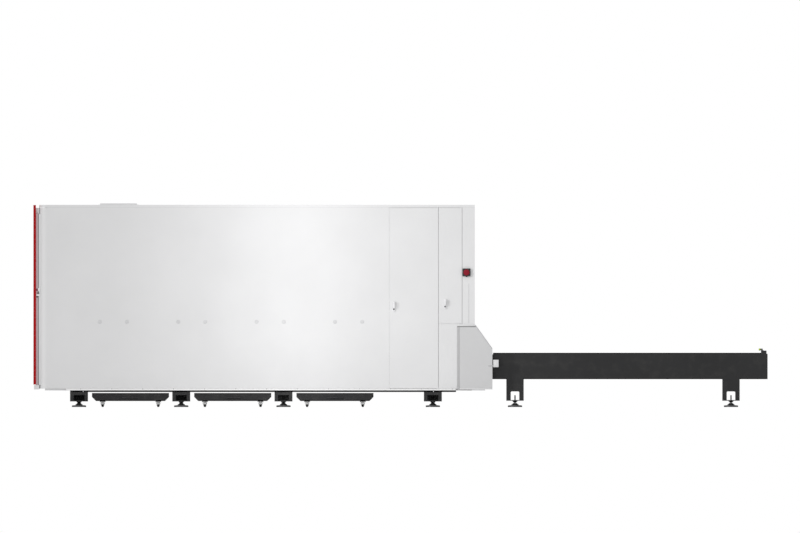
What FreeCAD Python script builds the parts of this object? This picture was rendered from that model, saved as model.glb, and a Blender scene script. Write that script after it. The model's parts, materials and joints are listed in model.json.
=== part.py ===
import FreeCAD
import Part
import math
import os

V = FreeCAD.Vector

# Fiber laser cutting machine with a closed cabin and an exchange table.
# Sizes are in millimetres. X runs from the operator's front panel to the far end of the
# exchange table, Y is across (the operator side with the doors is -Y) and Z is up.
# Stations along X are measured from the front panel and moved to the middle on export.

# ---- driving sizes: the work and its pallets --------------------------------------------
pallet_length = 3100.0
pallet_width = 1640.0
pallet_ring = (60.0, 80.0)        # section of the pallet's ring tube, across and high
pallet_lift = 12.0                # underside of the ring above the track
pallet_bar = 10.0                 # thickness of the flat bars under the ring
slat_pitch = 100.0
slat_thick = 3.0
slat_height = 90.0
slat_tooth = (50.0, 20.0)         # pitch and depth of the saw edge
slat_seat = 15.0                  # bottom of the slat above the ring's underside
comb_height = 65.0
comb_thick = 8.0
comb_slot = 5.0
wheel_radius = 34.7
wheel_width = 30.0
wheel_axle_z = 35.0               # axle above the track
wheel_from_end = 250.0
axle_radius = 10.0

# ---- driving sizes: levels --------------------------------------------------------------
cabin_top = 2264.0
panel_bottom = 206.0
frame_bottom = 185.0
base_thick = 17.0
bed_top = 620.0
track_top = 344.0
track_thick = 8.0
level_step = 145.0                # from the lower to the upper pallet level
beam_bottom = 312.0               # underside of the exchange table's side beams
beam_over = 107.0                 # their top above the upper pallet level

# ---- driving sizes: stations along X ----------------------------------------------------
cabin_front = 66.0
pallet_from_front = 589.0
rear_from_pallet = 1189.0
table_from_rear = 204.0
lift_from_rear = 31.0
outer_from_rear = 46.0
end_from_pallet = 133.0
gantry_from_pallet = 395.0
first_foot = 511.0
foot_pitch = 1145.0
last_foot_from_rear = 470.0

# ---- driving sizes: sheet metal and tubes -----------------------------------------------
sheet = 3.0
seat_gap = 0.3
turn_gap = 0.05
flange = 22.7
corner_radius = 90.0
frame_tube = 60.0
frame_wall = 3.0
frame_gap = 7.0                   # cabin frame from the bed's side beam
roof_skirt = 28.0
roof_seam = 2.0
hood_over = 40.0                  # hood's side beyond the cabin's side
bed_beam = 160.0
bed_wall = 10.0
cross_half = 50.0                 # half of a cross member's square section
track_width = 70.0
table_wall = 6.0
table_flange = 60.0               # width of the side beams' flanges
dock_thick = 8.0                  # plates that dock the side beams to the bed
leg_width = 195.0
leg_depth = 110.0
leg_bottom = 70.0
window_half = 47.5                # half width of the window in a leg's foot
tie_tube = (40.0, 60.0)           # section of the tube between two legs
foot_box = (201.0, 170.0, 106.0)  # along X, across and high
pocket_half = 61.5                # half width of the pocket in a foot box's outer face
foot_pad_radius = 80.0
stud_radius = 10.0

# ---- driving sizes: drives --------------------------------------------------------------
gear_module = 4.0
pinion_teeth = 15
pressure_angle = math.radians(20.0)
tooth_add = 0.75 * gear_module
tooth_ded = 1.0 * gear_module
backlash = 0.3
rack_width = 25.0
gantry_over = 100.0               # gantry's travel beyond the pallet's length
carriage_short = 60.0             # carriage's travel each way, short of the pallet's half width
rail_width = 28.0
rail_height = 26.0
screw_radius = 8.0
motor_side = 80.0

# ---- driving sizes: slag drawers --------------------------------------------------------
drawer_from_foot = 145.0          # drawer's end from the middle of the foot before it
drawer_to_foot = 137.0            # drawer's end to the middle of the foot after it
drawer_bottom = 67.0
drawer_clear = 11.0               # drawer's rim under the bed's base
drawer_wall = 4.0
drawer_chamfer = 45.0
drawer_in = (40.0, 300.0)         # drawer's ends from the cabin's near and far faces
caster_radius = 25.0
caster_width = 24.0
caster_axle = 4.0
caster_in = (120.0, 100.0)        # caster from the drawer's ends, along X and Y

# ---- worked-out places ------------------------------------------------------------------
pallet_half = pallet_width / 2
gantry_stroke = pallet_length + gantry_over
carriage_stroke = pallet_half - carriage_short
inner_x = cabin_front + pallet_from_front
cabin_rear = inner_x + pallet_length + rear_from_pallet
outer_x = cabin_rear + outer_from_rear
lift_x = cabin_rear + lift_from_rear
table_x = cabin_rear + table_from_rear
overall_length = outer_x + pallet_length + end_from_pallet
track_in = pallet_half + 10
track_out = track_in + track_width
bed_in = track_out
bed_out = bed_in + bed_beam
cabin_half = bed_out + frame_gap + frame_tube + seat_gap + flange
frame_out = cabin_half - flange - seat_gap
frame_in = frame_out - frame_tube
hood_half = cabin_half + hood_over
panel_top = cabin_top - roof_skirt - roof_seam
rail_top = cabin_top - sheet - seat_gap
base_bottom = frame_bottom - base_thick
foot_xs = [first_foot, first_foot + foot_pitch, first_foot + 2 * foot_pitch,
           cabin_rear - last_foot_from_rear]
foot_y = cabin_half - 105
upper_track = track_top + level_step
beam_top = upper_track + beam_over
gantry_x = inner_x + pallet_length + gantry_from_pallet
pinion_radius = gear_module * pinion_teeth / 2
tooth_pitch = math.pi * gear_module
table_half = frame_out - 117
leg_y = table_half - leg_depth / 2
leg_xs = [table_x + 246, overall_length - 410]
drawer_front = cabin_half - drawer_in[0]
drawer_back = cabin_half - drawer_in[1]
drawer_z = (drawer_bottom, base_bottom - drawer_clear)
post_xs = [cabin_front + 64, 2000.0, cabin_rear - 1019, cabin_rear - 437, cabin_rear - 142]

# doors, measured back from the cabin's rear face
wide_door_x = (cabin_rear - 957, cabin_rear - 410)
narrow_door_x = (cabin_rear - 404, cabin_rear - 144)
door_z = (panel_bottom + 3, panel_top - 2)
narrow_door_bottom = 935.0
door_depth = 16.0
door_sheet = 2.0
hinge_in = 7.0                    # hinge axis from the door's edge
hinge_y = cabin_half - 8
pin_radius = 4.0
near_lower_top = 932.0            # top of the fixed near panel under the narrow door
door_handles = [(cabin_rear - 907, 1163.0), (cabin_rear - 333, 1192.0)]

# operator's front
fascia_x = (0.0, 28.0)
fascia_z = (252.0, cabin_top - 2)
fascia_half = cabin_half - 30
opening_y = (150 - cabin_half, 60.0)
opening_z = (420.0, cabin_top - 244)
leaf_x = (40.0, 62.0)
leaf_y = (50 + seat_gap - cabin_half, opening_y[1] + 50)
leaf_z = (300.0, cabin_top - 109)
window_y = (290 - cabin_half, opening_y[1] - 140)
window_z = (900.0, cabin_top - 464)
window_thick = 6.0
leaf_wall = 2.0
sill_z = (197.0, 246.0)
header_z = (cabin_top - 99, cabin_top - 34)
screen_x = (1.0, 25.0)
screen_y = (cabin_half - 805, cabin_half - 255)
screen_z = (1295.0, 1645.0)
grip_y = 200 - cabin_half
grip_z = (1050.0, 1350.0)
grip_x = 18.0


# ---- shape helpers ----------------------------------------------------------------------
def box(x0, x1, y0, y1, z0, z1):
    return Part.makeBox(x1 - x0, y1 - y0, z1 - z0, V(x0, y0, z0))


def rod(radius, start, end):
    axis = V(*end) - V(*start)
    return Part.makeCylinder(radius, axis.Length, V(*start), axis)


def prism(points, direction):
    corners = [V(*p) for p in points]
    return Part.Face(Part.makePolygon(corners + corners[:1])).extrude(V(*direction))


def prism_y(points, y0, y1):
    return prism([(x, y0, z) for x, z in points], (0, y1 - y0, 0))


def fuse(solids):
    whole = solids[0]
    if len(solids) > 1:
        whole = whole.multiFuse(solids[1:])
    return whole.removeSplitter().Solids[0]


def cut(solid, tools):
    return solid.cut(Part.makeCompound(tools)).removeSplitter().Solids[0]


def mirror(solid):
    return solid.mirror(V(0, 0, 0), V(0, 1, 0))


def both(solids):
    return solids + [mirror(s) for s in solids]


def on_side(side, solid):
    return solid if side > 0 else mirror(solid)


def bore_of(x0, x1, y0, y1, z0, z1, axis, wall):
    """The space inside a tube, run out past both its ends along axis 0, 1 or 2."""
    low = [x0 + wall, y0 + wall, z0 + wall]
    high = [x1 - wall, y1 - wall, z1 - wall]
    low[axis] -= 2 * wall + 1
    high[axis] += 2 * wall + 1
    return box(low[0], high[0], low[1], high[1], low[2], high[2])


def tube(x0, x1, y0, y1, z0, z1, axis, wall):
    return box(x0, x1, y0, y1, z0, z1).cut(bore_of(x0, x1, y0, y1, z0, z1, axis, wall)).Solids[0]


def involute(radius, base):
    """Angle between the tooth's flank at this radius and at the base circle."""
    if radius <= base:
        return 0.0
    return math.sqrt((radius / base) ** 2 - 1) - math.acos(base / radius)


def pinion(phase):
    """Outline of a spur pinion in a plane, as (along, up) points round its centre."""
    base = pinion_radius * math.cos(pressure_angle)
    tip = pinion_radius + tooth_add
    root = pinion_radius - tooth_ded
    half = math.pi / (2 * pinion_teeth) - backlash / (4 * pinion_radius)
    steps = 5
    flank = []
    for i in range(steps + 1):
        r = base + (tip - base) * i / steps
        turn = half + involute(pinion_radius, base) - involute(r, base)
        flank.append((r, turn))
    flank.insert(0, (root, flank[0][1]))
    points = []
    for tooth in range(pinion_teeth):
        middle = phase + 2 * math.pi * tooth / pinion_teeth
        for r, turn in flank:
            points.append((r, middle - turn))
        for r, turn in reversed(flank):
            points.append((r, middle + turn))
    return [(r * math.cos(a), r * math.sin(a)) for r, a in points]


def rack_outline(start, teeth, pitch_line, bottom):
    """A rack with its teeth up: tooth centres lie at whole pitches from start."""
    slope = math.tan(pressure_angle)
    half = tooth_pitch / 4 - backlash / 4
    tip_half = half - tooth_add * slope
    root_half = half + tooth_ded * slope
    points = [(start - tooth_pitch / 2, bottom)]
    points.append((start - tooth_pitch / 2, pitch_line - tooth_ded))
    for tooth in range(teeth):
        middle = start + tooth * tooth_pitch
        points.append((middle - root_half, pitch_line - tooth_ded))
        points.append((middle - tip_half, pitch_line + tooth_add))
        points.append((middle + tip_half, pitch_line + tooth_add))
        points.append((middle + root_half, pitch_line - tooth_ded))
    end = start + (teeth - 0.5) * tooth_pitch
    points.append((end, pitch_line - tooth_ded))
    points.append((end, bottom))
    return points


# ---- machine bed ------------------------------------------------------------------------
def machine_bed():
    """Two side beams on base strips, the cross members between them, the tracks and the feet."""
    length = (first_foot - 81, cabin_rear - 44)
    wall = bed_wall
    beam = box(*length, bed_in, bed_out, frame_bottom, bed_top)
    hollow = box(length[0] - 1, length[1] - wall, bed_in + wall, bed_out - wall,
                 frame_bottom + wall, bed_top - wall)
    made = [cut(beam, [hollow])]
    made.append(box(first_foot - foot_box[0] / 2, cabin_rear - 211, bed_in, cabin_half - 25,
                    base_bottom, frame_bottom))
    made.append(box(inner_x - 15, lift_x - 7, track_in, track_out,
                    track_top - track_thick, track_top))
    made += [foot_mount(x) for x in foot_xs]
    made = both(made)
    for x in foot_xs + [cabin_rear - 1044]:
        made.append(tube(x - cross_half, x + cross_half, -bed_in, bed_in,
                         frame_bottom + 6, frame_bottom + 6 + 2 * cross_half, 1, wall))
    return made


def foot_mount(x):
    """The box that a levelling foot carries, with a pocket in its outer face."""
    along, across, high = foot_box
    wall = bed_wall
    y0 = foot_y - across / 2
    y1 = y0 + across
    z0 = base_bottom - high
    mount = box(x - along / 2, x + along / 2, y0, y1, z0, base_bottom)
    holes = [box(x - along / 2 + wall, x + along / 2 - wall, y0 + wall, y1 - wall,
                 z0 + wall, base_bottom - wall)]
    holes.append(box(x - pocket_half, x + pocket_half, y1 - 2 * wall, y1 + 1,
                     z0 + wall, base_bottom - 34))
    holes.append(rod(stud_radius + 3, (x, foot_y, 0), (x, foot_y, base_bottom - 50)))
    return cut(mount, holes)


rail_y = bed_in + 80
rack_y = (bed_in + 120, bed_in + 120 + rack_width)
rack_pitch_z = bed_top + 22
pinion_x = gantry_x + 260
rack_teeth = int((gantry_stroke + 120) / tooth_pitch)


def bed_rails_and_racks():
    rail = box(first_foot + 49, cabin_rear - 244, rail_y - rail_width / 2,
               rail_y + rail_width / 2, bed_top, bed_top + rail_height)
    start = pinion_x + tooth_pitch / 2 - tooth_pitch * (rack_teeth - 5)
    outline = rack_outline(start, rack_teeth, rack_pitch_z, bed_top)
    rack = prism_y(outline, *rack_y)
    return both([rail, rack])


# ---- cabin ------------------------------------------------------------------------------
def cabin_frame():
    """The cabin's tubes, butted together, and the ears that carry the doors' hinge pins."""
    length = (post_xs[0], cabin_rear - sheet - seat_gap)
    side = frame_tube
    bottom = (frame_bottom, frame_bottom + side)
    top = (rail_top - side, rail_top)
    inside = (-frame_in, frame_in)
    places = []
    for y in ((frame_in, frame_out), (-frame_out, -frame_in)):
        places.append((*length, *y, *bottom, 0))
        places.append((*length, *y, *top, 0))
        for x in post_xs:
            places.append((x, x + side, *y, bottom[1], top[0], 2))
    middle = (-frame_out, -frame_in, near_lower_top + 2 - side, near_lower_top + 2)
    places.append((post_xs[3] + side, post_xs[4], *middle, 0))
    for x in (post_xs[0], post_xs[1], length[1] - side):
        places.append((x, x + side, *inside, *top, 1))
    places.append((post_xs[0], post_xs[0] + side, *inside, *bottom, 1))
    made = [tube(*place, frame_wall) for place in places]
    for x1, low in ((wide_door_x[1], door_z[0]), (narrow_door_x[1], narrow_door_bottom)):
        made += [hinge_ear(x1 - hinge_in, low, -1), hinge_ear(x1 - hinge_in, door_z[1], 1)]
    return made


def hinge_ear(x, edge, out):
    """An ear below (-1) or above (1) a door's edge, with the pin that the door turns on."""
    z = sorted((edge + 0.5 * out, edge + 10 * out))
    ear = box(x - 7, x + 7, -cabin_half + sheet + seat_gap, -frame_out, *z)
    return fuse([ear, rod(pin_radius, (x, -hinge_y, edge + out), (x, -hinge_y, edge - 16 * out))])


def rounded_front(x0, x1, half, z0, z1, radius):
    """A plan-view block that is rounded at its two front corners."""
    block = box(x0, x1, -half, half, z0, z1)
    edges = []
    for edge in block.Edges:
        middle = edge.CenterOfMass
        if abs(middle.x - x0) < 0.1 and abs(abs(middle.y) - half) < 0.1:
            if abs(edge.Length - (z1 - z0)) < 0.1:
                edges.append(edge)
    return block.makeFillet(radius, edges)


def side_panel(side, x_end, plugs=()):
    """A folded sheet: side, rounded front corner, and lips that seat on the cabin's frame."""
    outer = rounded_front(cabin_front, x_end, cabin_half, panel_bottom, panel_top, corner_radius)
    inside = (cabin_front + sheet, cabin_half - sheet)
    inner = rounded_front(inside[0], x_end - sheet, inside[1], panel_bottom + sheet,
                          panel_top - sheet, corner_radius - sheet)
    through = rounded_front(inside[0], x_end + 1, inside[1], panel_bottom - 1, panel_top + 1,
                            corner_radius - sheet)
    middle = front_half + seat_gap
    rest = box(cabin_front - 1, x_end + 1, -cabin_half - 1, middle, 0, cabin_top)
    frame_room = box(inside[0] + flange, x_end + 1, 0, cabin_half - flange, 0, cabin_top)
    wall = cut(outer, [through, rest])
    lips = outer.cut(Part.makeCompound([inner, rest, frame_room])).Solids
    panel = fuse([wall] + lips)
    if plugs:
        holes = [rod(plug_stem + seat_gap, (x, cabin_half - 10, plug_z), (x, cabin_half + 1, plug_z))
                 for x in plugs]
        panel = cut(panel, holes)
    return on_side(side, panel)


plug_radius = 22.0
plug_stem = 15.0
plug_thick = 5.0
plug_z = 955.0
plug_spread = 303.0
plug_ends = (895.0, wide_door_x[0] - 458)
plug_pitch = (plug_ends[1] - plug_ends[0]) / 3
plug_pairs = [plug_ends[0] + i * plug_pitch for i in range(4)]
plug_xs = [x + s * plug_spread / 2 for x in plug_pairs for s in (-1, 1)]


def panel_plugs():
    made = []
    for x in plug_xs:
        face = -cabin_half
        disc = rod(plug_radius, (x, face, plug_z), (x, face - plug_thick, plug_z))
        rim = [e for e in disc.Edges if abs(e.CenterOfMass.y - face + plug_thick) < 0.1]
        disc = disc.makeFillet(plug_thick - 1, rim)
        stem = rod(plug_stem, (x, face - 1, plug_z), (x, face + 10, plug_z))
        made.append(fuse([disc, stem]))
    return made


entry_half = table_half - table_flange + dock_thick + 2
entry_top = upper_track + 161
strip_x = cabin_rear - 73
strip_z = (924.0, 1381.0)


def rear_wall():
    wall = box(cabin_rear - sheet, cabin_rear, -cabin_half, cabin_half, panel_bottom, panel_top)
    wall = cut(wall, [box(cabin_rear - 10, cabin_rear + 10, -entry_half, entry_half,
                          0, entry_top)])
    side_x = narrow_door_x[1] + 3.5
    face = (-cabin_half, -cabin_half + sheet)
    near_low = box(narrow_door_x[0], cabin_rear, *face, panel_bottom, near_lower_top)
    near_high = box(side_x, cabin_rear, *face, panel_bottom, panel_top)
    strip = box(strip_x, cabin_rear, -cabin_half - 1.2, -cabin_half, *strip_z)
    far = mirror(box(side_x, cabin_rear, *face, panel_bottom, panel_top))
    return [fuse([wall, near_low, near_high, strip, far])]


def roof_panel():
    outer = rounded_front(cabin_front, cabin_rear, cabin_half, cabin_top - roof_skirt, cabin_top,
                          corner_radius)
    inner = rounded_front(cabin_front + sheet, cabin_rear - sheet, cabin_half - sheet,
                          cabin_top - 2 * roof_skirt, cabin_top - sheet, corner_radius - sheet)
    return [cut(outer, [inner])]


vent_x = (746.0, 1160.0)
vent_half = 300.0
vent_height = 17.0


def roof_vent():
    cover = box(*vent_x, -vent_half, vent_half, cabin_top, cabin_top + vent_height)
    rim = [e for e in cover.Edges if e.CenterOfMass.z > cabin_top + 1]
    cover = cover.makeFillet(5, rim)
    inside = box(vent_x[0] + sheet, vent_x[1] - sheet, -vent_half + sheet, vent_half - sheet,
                 cabin_top - 1, cabin_top + vent_height - sheet)
    return [cut(cover, [inside])]


# ---- operator's front -------------------------------------------------------------------
front_half = cabin_half - corner_radius - 20 - seat_gap
jamb_y = (cabin_half - 110, cabin_half - 50)


def front_frame():
    back = post_xs[0] - seat_gap
    shell = box(cabin_front, back, -front_half, front_half, panel_bottom, panel_top)
    hollow = box(cabin_front + sheet, back + 1, -front_half + sheet, front_half - sheet,
                 panel_bottom + sheet, panel_top - sheet)
    door_way = box(cabin_front - 1, cabin_front + sheet + 1, *opening_y, *opening_z)
    wall = cut(shell, [hollow, door_way])
    sill = box(6, cabin_front, -fascia_half + 5, fascia_half - 5, *sill_z)
    header_x = (fascia_x[1] + seat_gap, cabin_front)
    header = box(*header_x, -jamb_y[1], jamb_y[1], *header_z)
    jamb = box(header_x[0], leaf_x[0] - seat_gap, *jamb_y, sill_z[1] - 1, header_z[0] + 1)
    return [fuse([wall, sill, header] + both([jamb]))]


def front_fascia():
    outer = box(*fascia_x, -fascia_half, fascia_half, *fascia_z)
    hollow = box(fascia_x[0] + sheet, fascia_x[1] - sheet, -fascia_half + sheet,
                 fascia_half - sheet, fascia_z[0] + sheet, fascia_z[1] - sheet)
    lip = 40.0
    back = box(fascia_x[1] - sheet - 1, fascia_x[1] + 1, -fascia_half + lip, fascia_half - lip,
               fascia_z[0] + lip, fascia_z[1] - lip)
    screen = box(-1, 20, screen_y[0] - 0.5, screen_y[1] + 0.5,
                 screen_z[0] - 0.5, screen_z[1] + 0.5)
    door_way = box(-1, 20, *opening_y, *opening_z)
    frame = box(fascia_x[0] + 1, fascia_x[0] + 20, opening_y[0] - sheet, opening_y[1] + sheet,
                opening_z[0] - sheet, opening_z[1] + sheet)
    pan = cut(outer, [hollow, back])
    return [cut(fuse([pan, frame]), [screen, door_way])]


def front_latch():
    y0 = -jamb_y[1] - seat_gap
    return [box(fascia_x[1] + seat_gap, 52, y0 - 25, y0, 1255, 1300)]


def control_screen():
    body = box(*screen_x, *screen_y, *screen_z)
    rim = [e for e in body.Edges if e.CenterOfMass.x < screen_x[0] + 0.1]
    return [body.makeChamfer(1, rim).Solids[0]]


def front_door():
    leaf = box(*leaf_x, *leaf_y, *leaf_z)
    wall = leaf_wall
    pocket = box(leaf_x[0] + wall, leaf_x[1] + 1, leaf_y[0] + wall, leaf_y[1] - wall,
                 leaf_z[0] + wall, leaf_z[1] - wall)
    view = box(leaf_x[0] - 1, leaf_x[1], *window_y, *window_z)
    leaf = cut(leaf, [pocket, view])
    shoes = []
    for y in (leaf_y[0] + 150, leaf_y[1] - 150):
        shoes.append(box(44, 58, y - 40, y + 40, sill_z[1] + seat_gap, leaf_z[0] + 1))
        shoes.append(box(44, 58, y - 40, y + 40, leaf_z[1] - 1, header_z[0] - seat_gap))
    return [fuse([leaf] + shoes)]


def front_window():
    lap = 20.0
    x0 = leaf_x[0] + leaf_wall
    return [box(x0, x0 + window_thick, window_y[0] - lap, window_y[1] + lap,
                window_z[0] - lap, window_z[1] + lap)]


def front_handle():
    grip = rod(8, (grip_x, grip_y, grip_z[0]), (grip_x, grip_y, grip_z[1]))
    posts = [rod(7, (grip_x, grip_y, z), (leaf_x[0], grip_y, z))
             for z in (grip_z[0] + 30, grip_z[1] - 30)]
    return [fuse([grip] + posts)]


# ---- side doors -------------------------------------------------------------------------
def pan_door(x0, x1, z0, z1, handle):
    y0 = -cabin_half
    y1 = y0 + door_depth
    pan = box(x0, x1, y0, y1, z0, z1)
    hollow = box(x0 + door_sheet, x1 - door_sheet, y0 + door_sheet, y1 + 1,
                 z0 + door_sheet, z1 - door_sheet)
    x = x1 - hinge_in
    pivots = [box(x - 6, x1, y0 + 1, y1, z0, z0 + 20), box(x - 6, x1, y0 + 1, y1, z1 - 20, z1)]
    door = fuse([cut(pan, [hollow])] + pivots)
    holes = [rod(pin_radius + turn_gap, (x, -hinge_y, z0 - 1), (x, -hinge_y, z0 + 21))]
    holes.append(rod(pin_radius + turn_gap, (x, -hinge_y, z1 - 21), (x, -hinge_y, z1 + 1)))
    hx, hz = handle
    holes.append(rod(spindle_radius + turn_gap, (hx, y0 - 1, hz), (hx, y1, hz)))
    return [cut(door, holes)]


spindle_radius = 8.0
lever_length = 112.0
lever_width = 30.0


def lever_handle(handle):
    """A lever that hangs from its spindle, with the latch's cam behind the door's sheet."""
    x, z = handle
    face = -cabin_half - seat_gap
    plate = box(x - lever_width / 2, x + lever_width / 2, face - 14, face,
                z + 18 - lever_length, z + 18)
    corners = [e for e in plate.Edges
               if abs(e.BoundBox.YLength - 14) < 0.1]
    plate = plate.makeFillet(12, corners)
    grip = box(x - 10, x + 10, face - 38, face - 13, z + 24 - lever_length, z - 20)
    grip = grip.makeFillet(8, [e for e in grip.Edges if e.BoundBox.ZLength > 40])
    spindle = rod(spindle_radius, (x, face - 1, z), (x, -cabin_half + door_depth - 2, z))
    cam = box(x - 32, x + 9, -cabin_half + 6, -cabin_half + 12, z - 9, z + 9)
    return [fuse([plate, grip, spindle, cam])]


stop_box_x = (cabin_rear - 138, cabin_rear - 49)
stop_box_z = (1464.0, 1551.0)
stop_box_depth = 24.0
stop_x = sum(stop_box_x) / 2
stop_z = sum(stop_box_z) / 2
stop_stem = 12.0
stop_cap_radius = 34.0


def stop_box():
    face = -cabin_half
    shell = box(*stop_box_x, face - stop_box_depth, face, *stop_box_z)
    shell = shell.makeFillet(6, [e for e in shell.Edges if e.BoundBox.YLength > 20])
    hollow = box(stop_box_x[0] + sheet, stop_box_x[1] - sheet, face - stop_box_depth + sheet,
                 face + 1, stop_box_z[0] + sheet, stop_box_z[1] - sheet)
    hole = rod(stop_stem + turn_gap, (stop_x, face - 30, stop_z), (stop_x, face, stop_z))
    return [cut(shell, [hollow, hole])]


def stop_button():
    front = -cabin_half - stop_box_depth
    cap = rod(stop_cap_radius, (stop_x, front - 15, stop_z), (stop_x, front - 7, stop_z))
    cap = cap.makeFillet(4, [e for e in cap.Edges if e.CenterOfMass.y < front - 14])
    stem = rod(stop_stem, (stop_x, front - 8, stop_z), (stop_x, front + 14, stop_z))
    return [fuse([cap, stem])]


# ---- rear hood --------------------------------------------------------------------------
hood_x = (cabin_rear - 200, cabin_rear + 197)
hood_z = (197.0, 924.0)
slope_x = cabin_rear + 6
slope_z = entry_top + 7


def hood_block(inset):
    x0, x1 = hood_x
    z0, z1 = hood_z
    lean = math.atan2(z1 - slope_z, x1 - slope_x) / 2
    top = inset * math.tan(lean)
    low = inset * math.tan(math.pi / 4 - lean)
    outline = [(x0 + inset, z0 - (20 if inset else 0)), (x1 - inset, z0 - (20 if inset else 0))]
    outline += [(x1 - inset, slope_z - low), (slope_x - top, z1 - inset), (x0 + inset, z1 - inset)]
    return prism_y(outline, -hood_half + inset, hood_half - inset)


def rear_hood():
    cabin = box(0, cabin_rear + seat_gap, -cabin_half - seat_gap, cabin_half + seat_gap,
                0, cabin_top)
    strip = box(0, cabin_rear + seat_gap, -cabin_half - 1.2 - seat_gap, 0, *strip_z)
    mouth = box(hood_x[1] - 10, hood_x[1] + 10, -entry_half - 60, entry_half + 60,
                0, entry_top - 10)
    foot = box(cabin_rear - 32, cabin_rear + 114, hood_half - 30, hood_half, 185, hood_z[0] + 3)
    shell = cut(hood_block(0), [hood_block(sheet), cabin, mouth, strip])
    return [fuse([shell] + both([foot]))]


def docking_brackets():
    x0 = hood_x[1] + 10
    body = box(x0, x0 + 59, hood_half - 56, hood_half + 4, 446, 529)
    body = body.makeFillet(5, [e for e in body.Edges if e.BoundBox.YLength > 50])
    recess = box(x0 + 12, x0 + 47, hood_half - 57, hood_half - 50, 462, 513)
    tab = box(x0 - 59, x0 + 1, hood_half, hood_half + 4, 455, 467)
    return both([fuse([cut(body, [recess]), tab])])


# ---- exchange table ---------------------------------------------------------------------
lift_out = track_in + 66
lift_plate = 8.0
cross_bar = 60.0
arm_xs = [table_x + 502, overall_length - 673]
cylinder_y = lift_out + 59
arm_half = 30.0
cylinder_top = beam_top - table_wall - 2
cylinder_cap = 12.0               # gland, and the piston that runs above it
arm_top = cylinder_top - level_step - 43
arm_thick = 14.0
rod_radius = 12.0
piston_radius = 19.9
barrel_bore = 20.0
barrel_radius = 26.0
top_strip = 11.0
strip_end = overall_length - 74
stop_height = 36.0


def table_frame():
    """Two channel beams with their top strips, the end plate, the legs and what ties them."""
    wall = table_wall
    end_x = overall_length - 26
    inner = table_half - table_flange
    beam = box(table_x, end_x, inner, table_half, beam_bottom, beam_top)
    hollow = box(table_x - 1, end_x + 1, inner - 1, table_half - wall,
                 beam_bottom + wall, beam_top - wall)
    notches = [box(x - arm_half - 15, x + arm_half + 15, inner - 1, table_half - 20,
                   beam_bottom - 1, beam_bottom + wall + 1) for x in arm_xs]
    made = [cut(beam, [hollow] + notches)]
    made.append(box(table_x, strip_end, inner, table_half, beam_top, beam_top + top_strip))
    made.append(box(cabin_rear - 44 + seat_gap, table_x, inner, inner + dock_thick,
                    beam_bottom, beam_bottom + 100))
    made += [table_leg(x) for x in leg_xs]
    made = both(made)
    made.append(box(end_x, overall_length, -table_half, table_half, beam_bottom, beam_top))
    inner = table_half - leg_depth
    for x in leg_xs:
        x1 = x + leg_width / 2 - 5.5
        z0 = leg_bottom + 20
        made.append(tube(x1 - tie_tube[0], x1, -inner, inner, z0, z0 + tie_tube[1], 1, 3.0))
    return made


def table_leg(x):
    """A square leg with a window at its foot, where the levelling foot's nuts are reached."""
    x0, x1 = x - leg_width / 2, x + leg_width / 2
    y0, y1 = table_half - leg_depth, table_half
    wall = table_wall
    leg = box(x0, x1, y0, y1, leg_bottom, beam_bottom)
    holes = [box(x0 + wall, x1 - wall, y0 + wall, y1 - wall,
                 leg_bottom + wall + 2, beam_bottom - wall)]
    window = box(x - window_half, x + window_half, y0 - 1, y1 + 1, leg_bottom + 8, leg_bottom + 104)
    rim = [e for e in window.Edges
           if e.BoundBox.YLength > 50 and e.CenterOfMass.z > leg_bottom + 100]
    holes.append(window.makeFillet(12, rim))
    holes.append(rod(stud_radius + 3, (x, leg_y, 0), (x, leg_y, leg_bottom + 20)))
    return cut(leg, holes)


shaft_x = overall_length - 83
shaft_z = upper_track + 57
shaft_radius = 15.0


def lift_frame():
    """The lift's plates, tracks, arms and cross bars, and the rods that it hangs on."""
    x0, x1 = lift_x, overall_length - 33
    hole = rod(shaft_radius + turn_gap, (shaft_x, 0, shaft_z), (shaft_x, lift_out + 1, shaft_z))
    plate = box(x0, x1, lift_out - lift_plate, lift_out, beam_bottom, beam_top - 6)
    made = [cut(plate, [hole])]
    for top in (track_top, upper_track):
        made.append(box(x0, x1, track_in, lift_out - lift_plate, top - track_thick, top))
    for x in arm_xs:
        made.append(box(x - arm_half, x + arm_half, lift_out, cylinder_y + 30,
                        arm_top - arm_thick, arm_top))
        top = cylinder_top - 8
        stem = rod(rod_radius, (x, cylinder_y, arm_top), (x, cylinder_y, top - cylinder_cap))
        piston = rod(piston_radius, (x, cylinder_y, top - cylinder_cap), (x, cylinder_y, top))
        made.append(fuse([stem, piston]))
    made = both(made)
    pitch = (x1 - x0 - cross_bar) / 4
    for i in range(5):
        x = x0 + i * pitch
        made.append(box(x, x + cross_bar, -lift_out + lift_plate, lift_out - lift_plate,
                        beam_bottom, track_top - track_thick))
    return made


def lift_cylinders():
    made = []
    for x in arm_xs:
        y = cylinder_y
        z0 = arm_top + 2
        barrel = rod(barrel_radius, (x, y, z0), (x, y, cylinder_top))
        lug = box(x - 20, x + 20, y + 22, table_half - table_wall, z0 + 28, cylinder_top - 8)
        bore = rod(barrel_bore, (x, y, z0 + cylinder_cap), (x, y, cylinder_top - 4))
        gland = rod(rod_radius + turn_gap, (x, y, z0 - 1), (x, y, z0 + cylinder_cap + 1))
        made.append(cut(fuse([barrel, lug]), [bore, gland]))
    return both(made)


def table_shaft():
    shaft = rod(shaft_radius, (shaft_x, -lift_out, shaft_z), (shaft_x, lift_out + 45, shaft_z))
    y = (lift_out - lift_plate - 18, lift_out - lift_plate - 4)
    discs = both([rod(30, (shaft_x, y[0], shaft_z), (shaft_x, y[1], shaft_z))])
    return [fuse([shaft] + discs)]


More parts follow.
